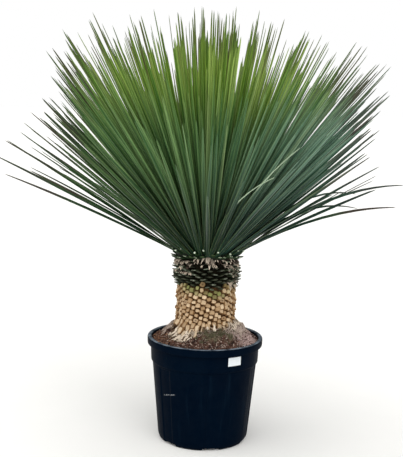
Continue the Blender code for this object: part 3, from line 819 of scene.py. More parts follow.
def cut_base(pile, angle, height, radius, shape, draw, **marks):
    """One trimmed leaf base, lofted from the trunk to its cut face.

    shape gives width, thickness, reach, upward tilt, squareness, taper and raggedness."""
    wide, thick, reach, tilt, square, taper, ragged = shape
    axis = (polar(1.0, angle, 0.0) * math.cos(tilt) + Vector((0.0, 0.0, math.sin(tilt)))).normalized()
    side = sideways_at(angle)
    roll = Matrix.Rotation(draw.uniform(-0.30, 0.22), 3, axis)
    side, upper = roll @ side, roll @ axis.cross(side)
    start = polar(radius - BASE_BURIED, angle, height)
    whole = reach + BASE_BURIED
    slants = [draw.uniform(-0.28, 0.28), draw.uniform(-0.34, 0.12)]
    torn = [(draw.uniform(-1.0, 1.0), draw.uniform(-1.0, 1.0)) for _ in range(BASE_SIDES)]
    sunk = draw.uniform(0.0012, 0.0026) if draw.random() < HOLLOW_SHARE else draw.uniform(-0.0016, -0.0002)
    # Rings: share of the length, size, whether cut, whether at the edge.
    rings = [(0.0, 1.06, 0.0, 0.0), (0.55, 1.0, 0.0, 0.0), (0.90, taper, 0.0, 0.6)]
    rings += [(0.985, taper * 0.88, 1.0, 1.0), (1.0, taper * 0.52, 1.0, 0.0)]
    body, cut, edge = [start], [0.0], [0.0]
    for ring, (share, size, is_cut, is_edge) in enumerate(rings):
        for i in range(BASE_SIDES):
            turn = 2.0 * math.pi * (i + 0.5) / BASE_SIDES
            x, y = squared(math.cos(turn), square), squared(math.sin(turn), square)
            spread = size * (1.0 + 0.5 * ragged * torn[i][0] * share)
            slant = (slants[0] * x * wide + slants[1] * y * thick) * 0.5 * size * ease(share, 0.5, 1.0)
            slant += ragged * torn[i][1] * reach * 0.5 * share * (ring < 4) - 0.5 * sunk * (ring == 4)
            point = start + axis * (whole * share + slant)
            body.append(point + side * (0.5 * wide * spread * x) + upper * (0.5 * thick * spread * y))
            cut.append(is_cut)
            edge.append(is_edge)
    body.append(start + axis * (whole - sunk))
    cut.append(1.0)
    edge.append(0.0)
    is_hollow = sunk > 0.001
    hollow = [0.0] * (1 + 4 * BASE_SIDES) + [0.35 * is_hollow] * BASE_SIDES + [1.0 * is_hollow]
    pile.add(body, skin(BASE_SIDES, len(rings)), cut=cut, edge=edge, hollow=hollow, **marks)


draw = random.Random(3)
tiles = Pile("cut", "edge", "hollow", "tone", "fresh")
longer = []
for angle, height in base_sites(draw):
    limit = along(TILE_LIMITS, from_front(angle)) + draw.uniform(-0.006, 0.006)
    if height > limit:
        longer.append((angle, height))
        continue
    low = 1.0 - ease(height, 0.378, 0.414)
    radius = along(TRUNK, height)
    spread = 1.0 - ease(abs(from_front(angle) - SPREAD_MIDDLE), 10.0, 27.0)
    if spread > 0.0:
        radius += spread * max(0.0, along(SPREAD_FOOT, height) - radius)
    elif height < 0.386 and abs(from_front(angle)) > 62.0:
        continue
    fresh = ease(height, limit - 0.044, limit - 0.014) * along(TILE_GREENS, from_front(angle))
    fresh *= draw.choice(GREEN_SHARES)
    wide = TILE_WIDE * draw.uniform(0.76, 1.14)
    tall = TILE_TALL * draw.uniform(0.78, 1.18) * (1.0 + 0.75 * low)
    reach = TILE_REACH * draw.uniform(0.3, 1.5)
    tilt = math.radians(15.0 + 15.0 * low + draw.uniform(-6.0, 6.0))
    shape = (wide, tall, reach, tilt, 3.4, 0.92, 0.30)
    cut_base(tiles, angle, height, radius, shape, draw, tone=draw.random(), fresh=fresh)

finish, shader, where = new_material("dry_leaf_bases", 0.82, 0.2)
cut, edge, hollow, tone, fresh = marks_of(where, "cut", "edge", "hollow", "tone", "fresh")
flanks, relief = fibrous(where, 500.0, 60.0, (74, 48, 24), (166, 128, 86), 0.52)
face = mixed(tone, (162, 132, 96), (228, 205, 172))
pores = between(cloud(where, 700.0, 4.0, 0.7), 0.34, 0.60)
face = mixed((1.0 - pores) * 0.45, face, (164, 128, 88))
face = mixed(between(edge, 0.55, 1.0) * 0.50, face, (146, 104, 62))
face = mixed(hollow * 0.9, face, (84, 54, 26))
bleached = 1.0 - between(axis_of(where, "Z"), 0.372, 0.412)
face = mixed(bleached * 0.55, face, (204, 188, 164))
face = mixed(fresh * 0.85, face, mixed(tone, (50, 66, 14), (122, 132, 64)))
flanks = mixed(fresh * 0.8, flanks, (48, 66, 26))
coat(shader, mixed(cut, flanks, face), relief, 0.0007)
dress("dry_leaf_bases", tiles.mesh("dry_leaf_bases"), finish, "dry_leaf_bases", "stem")


# Foot scales: at the stem's foot the oldest leaf bases have gone pale and split. They lie down the
# slope of the soil, most of all at the front left, and end in torn tips and loose fibres.
# How wide a scale and a fibre are along their length.
SCALE_WIDTHS = (0.0, 0.9, 1.0, 0.95, 0.7, 0.0)
FIBRE_WIDTHS = (0.0, 0.7, 1.0, 0.9, 0.7, 0.4, 0.0)
# Rows: how many, the angles and radii between which they lie, and width. Fibres also have the most
# that they rise and the degrees that they may swing aside.
PALE_SCALES = [
    (54, -58.0, -20.0, 0.114, 0.139, 0.0125),
    (34, -48.0, -24.0, 0.120, 0.146, 0.0068),
    (110, 46.0, 106.0, 0.100, 0.121, 0.0048),
    (80, -180.0, 180.0, 0.108, 0.120, 0.0080),
]
PALE_FIBRES = [
    (18, -62.0, -16.0, 0.116, 0.140, 0.0026, 0.004, 14.0),
    (80, 52.0, 112.0, 0.108, 0.140, 0.0014, 0.004, 26.0),
    (50, -180.0, 180.0, 0.108, 0.122, 0.0022, 0.003, 22.0),
]
# Long split ends that reach out side by side over the front of the soil.
LONG_ENDS = 8
LONG_END_WIDE = 0.0052
LONG_END_THICK = 0.0022
LONG_END_WIDTHS = (0.0, 1.0, 1.1, 1.05, 1.0, 0.8, 0.0)


def strip(pile, path, full, widths, thick, tone):
    """A flat strip of plant along a path. Its width there is full times widths."""
    body, last = [path[0]], len(path) - 1
    for i in range(1, last):
        ahead = (path[i + 1] - path[i - 1]).normalized()
        side = ahead.cross(Vector((0.0, 0.0, 1.0)))
        side = side.normalized() if side.length > 0.05 else Vector((1.0, 0.0, 0.0))
        above = side.cross(ahead) * (0.5 * thick)
        reach = side * (0.5 * (full * widths[i]))
        body += [path[i] + reach, path[i] + 0.5 * reach + above, path[i] - 0.5 * reach + above]
        body += [path[i] - reach, path[i] - 0.5 * above]
    body.append(path[-1])
    pile.add(body, skin(5, last - 1), tone=tone)


def laid(angle, near, reach, drift, lift, steps):
    """A path that leaves the stem's foot and lies down the soil."""
    path = []
    for i in range(steps + 1):
        share = i / steps
        radius = near + reach * share
        turn = angle + drift * share + 0.02 * math.sin(5.0 * share + 9.0 * drift)
        ground = soil_top(max(radius, SOIL_SOCKET), turn)
        steep = max(0.0, SOIL_SOCKET - radius) * 0.9
        path.append(polar(radius, turn, ground + steep + lift * (1.0 - 0.8 * share) + 0.0008))
    return path


def foot_scales(pile, draw, count, low_angle, high_angle, near, far, width):
    """Broad split leaf bases on the slope."""
    for _ in range(count):
        angle = math.radians(draw.uniform(low_angle, high_angle))
        first = near + draw.uniform(-0.004, 0.018)
        reach = draw.uniform(0.014, 0.030)
        reach = min(reach, far + draw.uniform(-0.004, 0.004) - first)
        if reach < 0.006:
            continue
        path = laid(angle, first, reach, math.radians(draw.uniform(-7.0, 7.0)), draw.uniform(0.001, 0.009), 5)
        full = width * draw.uniform(0.6, 1.2)
        strip(pile, path, full, SCALE_WIDTHS, full * 0.26, draw.random())


def foot_fibres(pile, draw, count, low_angle, high_angle, near, far, width, rise, swing):
    """Fibres that leave the stem's foot and lie out over the soil."""
    for _ in range(count):
        angle = math.radians(draw.uniform(low_angle, high_angle))
        reach = (far - near) * draw.uniform(0.35, 1.0)
        drift = math.radians(draw.uniform(-1.0, 1.0) * swing)
        path = laid(angle, near + draw.uniform(-0.004, 0.012), reach, drift, rise * draw.uniform(0.1, 1.0), 6)
        full = width * draw.uniform(0.6, 1.4)
        strip(pile, path, full, FIBRE_WIDTHS, full * 0.5, draw.random())


draw = random.Random(8)
pale = Pile("tone")
for row in PALE_SCALES:
    foot_scales(pale, draw, *row)
for i in range(LONG_ENDS):
    angle = math.radians(-41.0 + 2.5 * i + draw.uniform(-0.5, 0.5))
    path = laid(angle, 0.119, 0.028 + draw.uniform(-0.003, 0.003), math.radians(-8.0), 0.0045, 6)
    strip(pale, path, LONG_END_WIDE, LONG_END_WIDTHS, LONG_END_THICK, draw.uniform(0.6, 1.0))
for row in PALE_FIBRES:
    foot_fibres(pale, draw, *row)
finish, shader, where = new_material("pale_foot_scales", 0.85, 0.2)
(tone,) = marks_of(where, "tone")
straw, relief = fibrous(where, 500.0, 260.0, (134, 112, 92), (232, 217, 198), 0.64)
coat(shader, mixed(between(tone, 0.18, 0.60), (92, 74, 56), straw), relief, 0.0007)
dress("pale_foot_scales", pale.mesh("pale_foot_scales"), finish, "dry_leaf_bases")


# Surface roots: thin grey roots and weathered scales that run out over the soil at the left, the
# right and the back, and a few short hairs in the moss. Rows as for the pale scales and fibres.
ROOT_ROWS = [
    (foot_fibres, 120, -156.0, -90.0, 0.104, 0.150, 0.0034, 0.004, 24.0),
    (foot_scales, 60, 52.0, 106.0, 0.112, 0.136, 0.0040),
    (foot_fibres, 70, 42.0, 110.0, 0.110, 0.146, 0.0020, 0.004, 26.0),
    (foot_fibres, 60, 100.0, 170.0, 0.108, 0.158, 0.0022, 0.004, 24.0),
    (foot_fibres, 40, -14.0, 62.0, 0.108, 0.134, 0.0012, 0.003, 40.0),
]
roots = Pile("tone")
for lay, *row in ROOT_ROWS:
    lay(roots, draw, *row)
finish, shader, where = new_material("grey_surface_roots", 0.9, 0.2)
(tone,) = marks_of(where, "tone")
grey, relief = fibrous(where, 500.0, 400.0, (100, 84, 76), (206, 188, 176), 0.60)
coat(shader, mixed(tone * 0.5, grey, (104, 86, 76)), relief, 0.0005)
dress("surface_roots", roots.mesh("surface_roots"), finish, "dry_leaf_bases", crease=70.0)


# The collar: above the tiles the leaf bases were left longer. They are flat, dark green tongues with pale
# trimmed edges, in the same leaning columns, over a core painted near black as shade in the gaps.
FRAY_LOW = 0.583
FRAY_LOSS = 0.55
TONGUE_WIDE = 0.0232
TONGUE_THICK = 0.0062
TONGUE_REACH = 0.0262
draw = random.Random(13)
tongues = Pile("cut", "edge", "hollow", "tone", "fresh")
for angle, height in longer:
    limit = along(TILE_LIMITS, from_front(angle))
    frayed = ease(height, FRAY_LOW - 0.004, FRAY_LOW + 0.004)
    if draw.random() < FRAY_LOSS * frayed:
        continue
    near_tiles = 1.0 - ease(height, limit, limit + 0.016)
    wide = (TONGUE_WIDE - 0.005 * near_tiles) * draw.uniform(0.80, 1.12)
    thick = TONGUE_THICK * draw.uniform(0.8, 1.2)
    reach = (TONGUE_REACH - 0.0110 * near_tiles - 0.008 * frayed) * draw.uniform(0.82, 1.06)
    fresh = 0.35 + 0.45 * near_tiles - 0.3 * frayed + 0.2 * draw.uniform(-1.0, 1.0)
    tilt = math.radians(12.0 + draw.uniform(-5.0, 5.0))
    shape = (wide, thick, reach, tilt, 2.0, 0.54, 0.14)
    cut_base(tongues, angle, height, along(TRUNK, height), shape, draw, tone=draw.random(), fresh=fresh)

finish, shader, where = new_material("dark_leaf_tongues", 0.6, 0.3)
cut, edge, tone, fresh = marks_of(where, "cut", "edge", "tone", "fresh")
flanks, relief = fibrous(where, 420.0, 90.0, (12, 13, 9), (54, 56, 42), 0.42)
sides = mixed(fresh, flanks, mixed(tone, (36, 48, 34), (84, 98, 66)))
trimmed = mixed(between(tone, 0.2, 0.9), (80, 84, 66), (204, 214, 192))
ends = mixed(between(edge, 0.3, 0.9), (70, 76, 60), trimmed)
ends = mixed(cloud(where, 700.0, 4.0, 0.7) * 0.5, ends, (58, 54, 38))
sides = mixed(between(edge, 0.15, 0.8) * 0.7, sides, trimmed)
coat(shader, mixed(cut, sides, ends), relief, 0.0006)
dress("dark_leaf_tongues", tongues.mesh("dark_leaf_tongues"), finish, "green_leaf_stubs", "cut_leaf_collar")


# Dry shreds: a band of withered leaf bases under the head, torn to tan and whitish rags that stick
# out between black stubs. More of them run down the right side, and one row shows at the left.
# Where the band's top lies, by degrees from the front.
BAND_TOPS = [(-180.0, 0.612), (-90.0, 0.604), (-62.0, 0.602), (-28.0, 0.614), (2.0, 0.619), (42.0, 0.616)]
BAND_TOPS += [(71.0, 0.608), (180.0, 0.612)]
BAND_RAGS = 62
# The band's two rows: how far a rag may stray from its place, how many are there, and the limits of
# how far it lies under the top, how far it reaches, how far it falls, and its width.
BAND_ROWS = [
    (0.4, 0.7, (0.0, 0.008), (0.014, 0.023), (0.002, 0.018), (0.006, 0.012)),
    (0.5, 1.0, (0.008, 0.024), (0.013, 0.023), (0.0, 0.014), (0.005, 0.011)),
]
# One tall fan hangs at the front: angle and height of each, then reach, fall and width of all.
FAN = [(-0.03, 0.622), (0.03, 0.624), (0.09, 0.618), (0.02, 0.612), (0.12, 0.606)]
FAN_SIZES = (0.023, 0.022, 0.018)
# Rows at the left: how many, degrees apart, height, how far it varies, then reach, fall and width.
LEFT_START = -78.0
LEFT_ROWS = [(9, 5.5, 0.567, 0.002, 0.024, 0.004, 0.014), (8, 5.6, 0.602, 0.004, 0.022, 0.003, 0.013)]
# Rags down the right side, and the limits of their angle, height, reach, fall and width.
RIGHT_RAGS = 90
RIGHT_ANGLES = (44.0, 112.0)
RIGHT_LIMITS = [(0.522, 0.596), (0.012, 0.022), (0.003, 0.014), (0.005, 0.010)]
RAG_WIDTHS = (0.0, 1.0, 1.05, 1.0, 1.0, 0.75, 0.0)
RAG_THICK = 0.0022


def shred(pile, draw, angle, height, reach, fall, width):
    """A withered leaf base: it leaves the trunk, bends down, and splits into two or three rags."""
    side = sideways_at(angle)
    tone = draw.random()
    rags = draw.choice((1, 2, 2, 3))
    for rag in range(rags):
        apart = (rag - 0.5 * (rags - 1)) * width / rags
        swing = draw.uniform(-0.006, 0.006) + apart * 1.3
        drop = fall * draw.uniform(0.6, 1.15)
        full = width * draw.uniform(0.8, 1.15) / rags
        path = []
        for i in range(7):
            share = i / 6.0
            out = reach * (1.0 - (1.0 - share) ** 2)
            down = drop * share**1.6 - 0.18 * reach * math.sin(math.pi * share)
            at = polar(along(TRUNK, height) - 0.003 + out, angle, height - down)
            path.append(at + side * (apart * 0.6 + swing * share**1.3))
        strip(pile, path, full, RAG_WIDTHS, RAG_THICK, min(1.0, tone + 0.15 * rag))


draw = random.Random(31)
shreds = Pile("tone")
for stray, there, *limits in BAND_ROWS:
    for i in range(BAND_RAGS):
        angle = (i + draw.uniform(-stray, stray)) * 2.0 * math.pi / BAND_RAGS
        if there == 1.0 or draw.random() < there:
            under, *sizes = [draw.uniform(*pair) for pair in limits]
            shred(shreds, draw, angle, along(BAND_TOPS, from_front(angle)) - under, *sizes)
for angle, height in FAN:
    shred(shreds, draw, angle, height, *FAN_SIZES)
for count, apart, height, varies, *sizes in LEFT_ROWS:
    for i in range(count):
        angle = math.radians(LEFT_START + apart * i)
        shred(shreds, draw, angle, height + draw.uniform(-varies, varies), *sizes)
for _ in range(RIGHT_RAGS):
    angle = math.radians(draw.uniform(*RIGHT_ANGLES))
    shred(shreds, draw, angle, *[draw.uniform(*pair) for pair in RIGHT_LIMITS])
finish, shader, where = new_material("withered_shreds", 0.9, 0.2)
(tone,) = marks_of(where, "tone")
rag, relief = fibrous(where, 500.0, 200.0, (118, 96, 80), (222, 207, 188), 0.60)
coat(shader, mixed(between(tone, 0.22, 0.85), (48, 35, 28), rag), relief, 0.0006)
dress("withered_shreds", shreds.mesh("withered_shreds"), finish, "green_leaf_stubs")


# Cut leaves: the lowest of the head's own leaves were cut short. A row of broad green stubs stands
# over the torn band, and round stalks between the leaves show their almost white cut faces.
BROAD_STUBS = 34
STUB_SIZE = (0.0230, 0.0072, 0.027)
STUB_RADIUS = 0.0915
STALK_SIZE = (0.0096, 0.0082, 0.036)
STALK_RADIUS = 0.0950
STALK_LEAN = math.radians(26.0)
# Round stalks that show at the front, as angle in degrees and the height of the cut face.
FRONT_STALKS = [(-66.0, 0.640), (-54.4, 0.637), (-42.6, 0.646), (-18.9, 0.6385), (-5.9, 0.647), (15.5, 0.641)]
FRONT_STALKS += [(35.3, 0.6335), (52.0, 0.640), (68.0, 0.636)]
BACK_STALKS = 20
BACK_STEP = 200.0 / BACK_STALKS
draw = random.Random(17)
cut_leaves = Pile("cut", "edge", "hollow", "tone", "fresh")
wide, thick, reach = STUB_SIZE
for i in range(BROAD_STUBS):
    angle = i * 2.0 * math.pi / BROAD_STUBS + draw.uniform(-0.05, 0.05)
    height = along(BAND_TOPS, from_front(angle)) + draw.uniform(-0.002, 0.004)
    tilt = math.radians(16.0 + draw.uniform(-6.0, 6.0))
    shape = (wide, thick, reach * draw.uniform(0.84, 1.12), tilt, 2.0, 0.50, 0.12)
    cut_base(cut_leaves, angle, height, STUB_RADIUS, shape, draw, tone=draw.random(), fresh=0.0)
wide, thick, reach = STALK_SIZE
stalks = list(FRONT_STALKS)
for i in range(BACK_STALKS):
    stalks.append((80.0 + i * BACK_STEP + draw.uniform(-3.0, 3.0), draw.uniform(0.634, 0.646)))
for degrees, height in stalks:
    foot = height - reach * math.sin(STALK_LEAN)
    shape = (wide, thick * draw.uniform(0.85, 1.15), reach, STALK_LEAN, 2.2, 0.74, 0.04)
    angle = math.radians(degrees)
    cut_base(cut_leaves, angle, foot, STALK_RADIUS, shape, draw, tone=draw.random(), fresh=1.0)
finish, shader, where = new_material("fresh_cut_leaves", 0.5, 0.3)
cut, edge, tone, fresh = marks_of(where, "cut", "edge", "tone", "fresh")
flanks, relief = fibrous(where, 380.0, 60.0, (14, 32, 14), (42, 68, 34), 0.5)
white = mixed(cloud(where, 700.0, 3.0), (238, 248, 230), (216, 234, 204))
pale_end = mixed(between(tone, 0.2, 0.7) * between(edge, 0.1, 0.7), (78, 96, 60), (214, 226, 200))
coat(shader, mixed(cut, flanks, mixed(fresh, pale_end, white)), relief, 0.0004)
dress("fresh_cut_leaves", cut_leaves.mesh("fresh_cut_leaves"), finish, "green_leaf_stubs")


# The growing point: a low dome of dark young fibre on top of the trunk, hidden by the leaves that
# grow from it. Its surface is a little uneven.
HEAD_HEIGHT = 0.613
HEAD_RADIUS = 0.102
HEAD_RISE = 0.100
DOME_LIFT = 0.008
DOME_COLUMNS = 72
DOME_INSET = 0.0008


def dome_point(ring, angle):
    """A point of the dome's uneven skin."""
    radius, z = ring
    rough = 0.0012 * noise.noise(polar(radius, angle, z) * 120.0)
    return polar(radius + rough - DOME_INSET, angle, z)


rings = [(HEAD_RADIUS - 0.004, HEAD_HEIGHT)]
for up in (math.radians(degrees) for degrees in range(0, 88, 6)):
    rings.append((HEAD_RADIUS * math.cos(up), HEAD_HEIGHT + DOME_LIFT + HEAD_RISE * math.sin(up)))
dome_top = HEAD_HEIGHT + DOME_LIFT + HEAD_RISE
dome_mesh = turned("growing_point", HEAD_HEIGHT, rings, dome_top, round_angles(DOME_COLUMNS), dome_point)
finish, shader, where = new_material("growing_point", 0.7, 0.3)
coat(shader, *fibrous(where, 300.0, 60.0, (6, 14, 5), (34, 50, 24), 0.42), 0.001)
dress("growing_point", dome_mesh, finish, "leaves", crease=60.0)


# The leaves: stiff, narrow blades, keeled below and slightly hollow above, with thin yellowish
# margins and a brown needle at the tip. They grow from the growing point a golden angle apart.
LEAF_COUNT = 560
LEAF_WIDTH = 0.0106
LEAF_THICKNESS = 0.0026
LEAF_SUNK = 0.014
LENGTH_WANDER = 0.06
GOLDEN_ANGLE = math.pi * (3.0 - math.sqrt(5.0))
DOME_TOP_SINE = 0.985
DOME_CROWDING = 0.9
ROOT_LIFT = 0.013
# Tilt from the vertical by the leaf's share of the count, and length by tilt.
LEAF_TILTS = [(0.0, 64.0), (0.025, 58.5), (0.10, 51.0), (0.30, 44.0), (0.52, 36.0), (0.72, 27.5)]
LEAF_TILTS += [(0.87, 17.0), (1.0, 2.0)]
LEAF_LENGTHS = [(0.0, 0.676), (20.0, 0.685), (36.0, 0.715), (44.0, 0.715), (52.0, 0.675)]
LEAF_LENGTHS += [(60.0, 0.635), (75.0, 0.590)]
# The head's outline from the front: a share of the length by the leaf's lean to the right.
HEAD_SHAPE = [(-90.0, 0.88), (-72.0, 0.88), (-63.0, 0.97), (-54.0, 0.95), (-43.0, 0.88), (-38.0, 0.94)]
HEAD_SHAPE += [(-31.0, 1.08), (-25.0, 1.05), (-20.0, 0.99), (0.0, 0.98), (30.0, 0.98), (35.0, 1.02)]
HEAD_SHAPE += [(39.0, 1.02), (43.0, 0.88), (48.0, 0.80), (56.0, 0.80), (64.0, 0.90), (90.0, 0.90)]
# Leaves gather in loose sheaves all round, and in three thick ones at these leans.
SHEAVES = 7
SHEAF_PULL = math.radians(2.0)
SHEAF_LIFT = 1.2
SHEAF_TURNS = 9.0
THICK_SHEAVES = (-36.0, 2.0, 42.0)
THICK_PULL = 0.34
THICK_SPREAD = 11.0
# Narrow gaps between sheaves, by their lean, and how far each one reaches to either side.
SHEAF_GAPS = {lean: 2.5 for lean in (-51.0, -40.0, -23.0, -10.0, 6.5, 16.0, 26.0)}
SHEAF_GAPS |= {36.0: 2.8, 54.0: 5.0}
GAP_PUSH = 0.5
# How far leaves are turned about their own length, and how much that slims those seen edge on.
LEAF_ROLL = 0.6
EDGE_ROLL = 1.10
EDGE_SLIM = 0.20
# Shorter leaves that stand between the others, from this place in the spiral on.
INNER_LEAVES = 560
INNER_START = 74.5
INNER_SPAN = 78.0
INNER_LENGTHS = (0.75, 0.98)
INNER_RIGHT_LOSS = 0.11
# How much of the dark leaf end, dry leaf and painted shade, the shorter leaves get.
INNER_DARK_END_SHARE = 0.45
# Leaves that have left the head: angle from the front, tilt, length, droop, twist, sideways bend.
STRAY_LEAVES = [
    (-88.0, 61.5, 0.680, 0.03, 1.2, 0.0),
    (-94.0, 56.5, 0.700, 0.05, 1.0, 0.0),
    (82.0, 50.0, 0.690, 0.28, 1.1, 0.0),
    (90.0, 60.0, 0.600, 0.22, 0.9, 0.0),
    (60.0, 41.0, 0.630, 0.38, 0.6, 0.0),
    (66.0, 45.0, 0.570, 0.38, 0.6, 0.0),
    (6.0, 47.5, 0.610, 0.18, 0.4, 0.19),
    (18.0, 45.5, 0.700, 0.15, 0.4, 0.08),
]
BLADE_SHARES = (0.0, 0.035, 0.09, 0.18, 0.30, 0.42, 0.54, 0.65, 0.75, 0.83, 0.895, 0.945, 0.980)
BLADE_WIDTHS = [(0.0, 1.3), (0.04, 1.08), (0.12, 0.82), (0.25, 0.88), (0.5, 1.0), (0.7, 0.94), (0.83, 0.68)]
BLADE_WIDTHS += [(0.895, 0.54), (0.945, 0.42), (0.98, 0.30), (1.0, 0.08)]
BLADE_DEPTHS = [(0.0, 1.6), (0.12, 1.15), (0.5, 1.05), (0.84, 0.95), (0.94, 0.78), (0.98, 0.6), (1.0, 0.2)]
# Round the blade: how far across, and how high in thicknesses, over the top and back below.
BLADE_ROUND = [(-1.0, 0.0), (0.0, -0.14), (1.0, 0.0), (0.84, -0.32), (0.0, -1.0), (-0.84, -0.32)]


def gathered(direction):
    """A leaf's direction, turned towards the thick sheaves and out of a gap, and its lean to the right."""
    lean = math.degrees(math.atan2(direction.x, direction.z))
    pull = 0.0
    for thick in THICK_SHEAVES:
        off = lean - thick
        pull -= THICK_PULL * off * math.exp(-((off / THICK_SPREAD) ** 2))
    for gap, reach in SHEAF_GAPS.items():
        off = lean + pull - gap
        if abs(off) < reach:
            pull += math.copysign(GAP_PUSH * (reach - abs(off)), off)
            break
    return Matrix.Rotation(math.radians(pull), 3, "Y") @ direction, lean + pull


def leaf_rule(k, draw):
    """Where leaf k grows, which way it points, and how it is shaped. Leaf 0 is the lowest."""
    wobble = [draw.uniform(-1.0, 1.0) for _ in range(7)]
    share = (k + 0.5) / LEAF_COUNT
    angle = k * GOLDEN_ANGLE
    up = math.asin(DOME_TOP_SINE * share**DOME_CROWDING)
    tilt = along(LEAF_TILTS, share)
    length = along(LEAF_LENGTHS, tilt) * (1.0 + LENGTH_WANDER * wobble[2])
    tilt += 3.0 * wobble[0] + SHEAF_LIFT * math.sin(SHEAVES * angle + 1.0)
    tilt = max(0.0, math.radians(tilt))
    aim = angle + math.radians(3.0) * wobble[1] / max(0.25, math.sin(tilt))
    aim += SHEAF_PULL * math.sin(SHEAVES * angle + SHEAF_TURNS * tilt)
    direction, lean = gathered(polar(math.sin(tilt), aim, math.cos(tilt)))
    tilt = math.acos(min(1.0, direction.z))
    return {
        "root": polar(HEAD_RADIUS * math.cos(up), angle, HEAD_HEIGHT + ROOT_LIFT + HEAD_RISE * math.sin(up)),
        "aim": math.atan2(direction.x, -direction.y),
        "tilt": tilt,
        "length": length * along(HEAD_SHAPE, lean),
        "droop": math.sin(tilt) * 0.030 * (1.0 + wobble[3]),
        "twist": math.radians(48.0) * wobble[4],
        "width": LEAF_WIDTH * (1.0 + 0.12 * wobble[5]),
        "sway": 0.012 * wobble[6],
    }


def blade(
    pile, youth, tone, roll, root, aim, tilt, length, droop, twist, width, sway, sunlit=0.0, dark_end_share=1.0
):
    """One leaf, from its wide base in the growing point to its needle. roll turns all of it."""
    direction = polar(math.sin(tilt), aim, math.cos(tilt))
    across = sideways_at(aim)
    above = direction.cross(across)
    start = root - direction * LEAF_SUNK

    def centre(share):
        bend = Vector((0.0, 0.0, -droop * length * share**2.2))
        return start + direction * (length * share) + bend + across * (sway * length * share**2)

    body, lengthways, sideways = [start - direction * 0.001], [0.0], [0.0]
    for share in BLADE_SHARES:
        turn = Matrix.Rotation(roll * ease(share, 0.02, 0.22) + twist * share, 3, direction)
        side = turn @ across * (0.5 * width * along(BLADE_WIDTHS, share))
        lift = turn @ above * (LEAF_THICKNESS * along(BLADE_DEPTHS, share))
        at = centre(share)
        body += [at + side * x + lift * y for x, y in BLADE_ROUND]
        lengthways += [share] * len(BLADE_ROUND)
        sideways += [abs(x) for x, y in BLADE_ROUND]
    body.append(centre(1.0))
    # Leaves that point at the viewer get less of the dark end, which is partly painted shade.
    inward = max(0.0, math.cos(aim) - 0.4) / 0.6 * ease(math.sin(tilt), 0.25, 0.6)
    dried = dark_end_share * (1.0 - inward) * (0.6 + 0.4 * tone) * (1.0 - 0.15 * ease(youth, 0.55, 0.90))
    pile.add(
        body, skin(len(BLADE_ROUND), len(BLADE_SHARES)), lengthways=lengthways + [1.0],
        sideways=sideways + [0.0], youth=youth, tone=tone, dried=dried, sunlit=sunlit,
        east=(0.5 + 0.5 * math.sin(aim)) * math.sin(tilt), outer=abs(math.sin(aim)) * math.sin(tilt),
    )


draw = random.Random(11)
tones = random.Random(4)
LEAF_MARKS = ("lengthways", "sideways", "youth", "tone", "east", "outer", "dried", "sunlit")
leaves = Pile(*LEAF_MARKS)
for k in range(LEAF_COUNT):
    rule = leaf_rule(k, draw)
    edge_on = abs(math.sin(rule["aim"])) * math.sin(rule["tilt"])
    roll = tones.uniform(-LEAF_ROLL, LEAF_ROLL)
    roll += math.copysign(1.0, tones.uniform(-1.0, 1.0)) * EDGE_ROLL * edge_on
    rule["width"] *= 1.0 - EDGE_SLIM * ease(edge_on, 0.55, 0.85)
    blade(leaves, (k + 0.5) / LEAF_COUNT, tones.random(), roll, **rule)
for k in range(INNER_LEAVES):
    place = INNER_START + k * (LEAF_COUNT - INNER_SPAN) / INNER_LEAVES
    rule = leaf_rule(place, draw)
    rightward = ease(math.sin(rule["aim"]) * math.sin(rule["tilt"]), 0.40, 0.70)
    rule["length"] *= tones.uniform(*INNER_LENGTHS) - INNER_RIGHT_LOSS * rightward
    tone, roll = tones.random(), tones.uniform(-LEAF_ROLL, LEAF_ROLL)
    blade(leaves, (place + 0.5) / LEAF_COUNT, tone, roll, **rule, dark_end_share=INNER_DARK_END_SHARE)
for degrees, tilt, length, droop, twist, sway in STRAY_LEAVES:
    angle = math.radians(degrees)
    root = polar(HEAD_RADIUS, angle, HEAD_HEIGHT + ROOT_LIFT)
    in_front = abs(angle) < 0.6
    width = LEAF_WIDTH * (1.0 + 0.4 * in_front)
    tone = 0.8 if in_front else tones.random()
    shape = (math.radians(tilt), length, droop, twist, width, sway)
    blade(leaves, 0.05, tone, 0.4, root, angle, *shape, sunlit=1.0 * in_front)

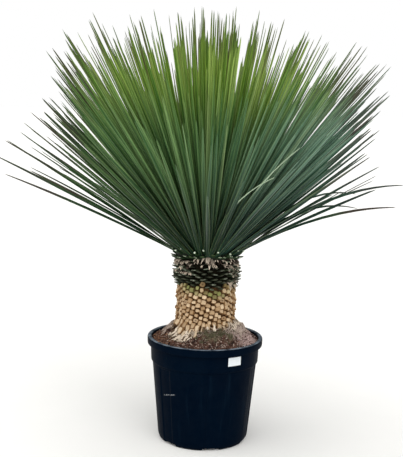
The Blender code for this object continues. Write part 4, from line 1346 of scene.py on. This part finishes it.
finish, shader, where = new_material("yucca_leaf", 0.46, 0.14)
lengthways, sideways, youth, tone, east, outer, dried, sunlit = marks_of(where, *LEAF_MARKS)
# Painted shade and light by height: deep green low in the head, where the leaves shade each other, rising to
# yellow-green in the tops of the youngest, partly their fresh colour and partly painted sunlight. Blue-green
# at the right, also darker low down.
# Younger leaves count as higher, so the shaded ones inside the head are painted lighter.
height = axis_of(where, "Z") + (youth - 0.35) * 0.12
shaded_deep = mixed(tone, (18, 40, 24), (32, 62, 38))
green = mixed(between(height, 0.67, 1.02), shaded_deep, mixed(tone, (66, 110, 56), (122, 160, 96)))
top = between(height, 0.98, 1.28) * (youth * 0.7 + 0.3)
green = mixed(top, green, mixed(tone, (116, 164, 36), (202, 232, 112)))
shaded_low_blue = mixed(tone, (24, 48, 42), (46, 76, 68))
blue = mixed(between(height, 0.68, 1.06), shaded_low_blue, mixed(tone, (80, 124, 106), (158, 196, 180)))
green = mixed(between(east, 0.28, 0.66) * (0.85 - top * 0.85), green, blue)
olive = between(tone, 0.95, 0.97) * between(lengthways, 0.35, 0.8)
green = mixed(olive * 0.35, green, (120, 128, 50))
# Fine lines run from base to tip.
lines = {"X": sideways * 5.0, "Y": lengthways * 3.0, "Z": tone * 61.0}
veins = cloud(node(tree_of(where), "CombineXYZ", lines), 2.0, 4.0, 0.6)
green = mixed(between(veins, 0.42, 0.66) * 0.36, green, (12, 30, 18))
# Painted shade darkens the hollow down the middle of a leaf, and its margins are paler.
hollow = 1.0 - between(sideways, 0.10, 0.70)
green = mixed(hollow * 0.50, green, (18, 40, 24))
# Painted highlight: a pale sunlit band along the middle of the stray leaves in front.
green = mixed(sunlit * between(lengthways, 0.50, 0.72) * 0.9, green, (186, 208, 178))
green = mixed(between(sideways, 0.86, 0.98) * 0.46, green, (156, 174, 116))
# The tip dries to a brown needle. Further down, the end is darkened partly as dry leaf and partly as painted
# shade, more on leaves that stand out at the sides.
needle = between(lengthways, 0.955, 0.99) * dried * 0.8
early = tone * 0.08 + between(outer, 0.35, 0.80) * 0.15
shaded_dry_end = between(lengthways + early, 0.82, 0.95) * dried * 0.95
green = mixed(maths("MAXIMUM", needle, shaded_dry_end), green, mixed(tone, (33, 30, 38), (64, 54, 48)))
coat(shader, green, veins, 0.0004)
dress("leaves", leaves.mesh("leaves"), finish, "leaves", "leaf_head", crease=24.0)
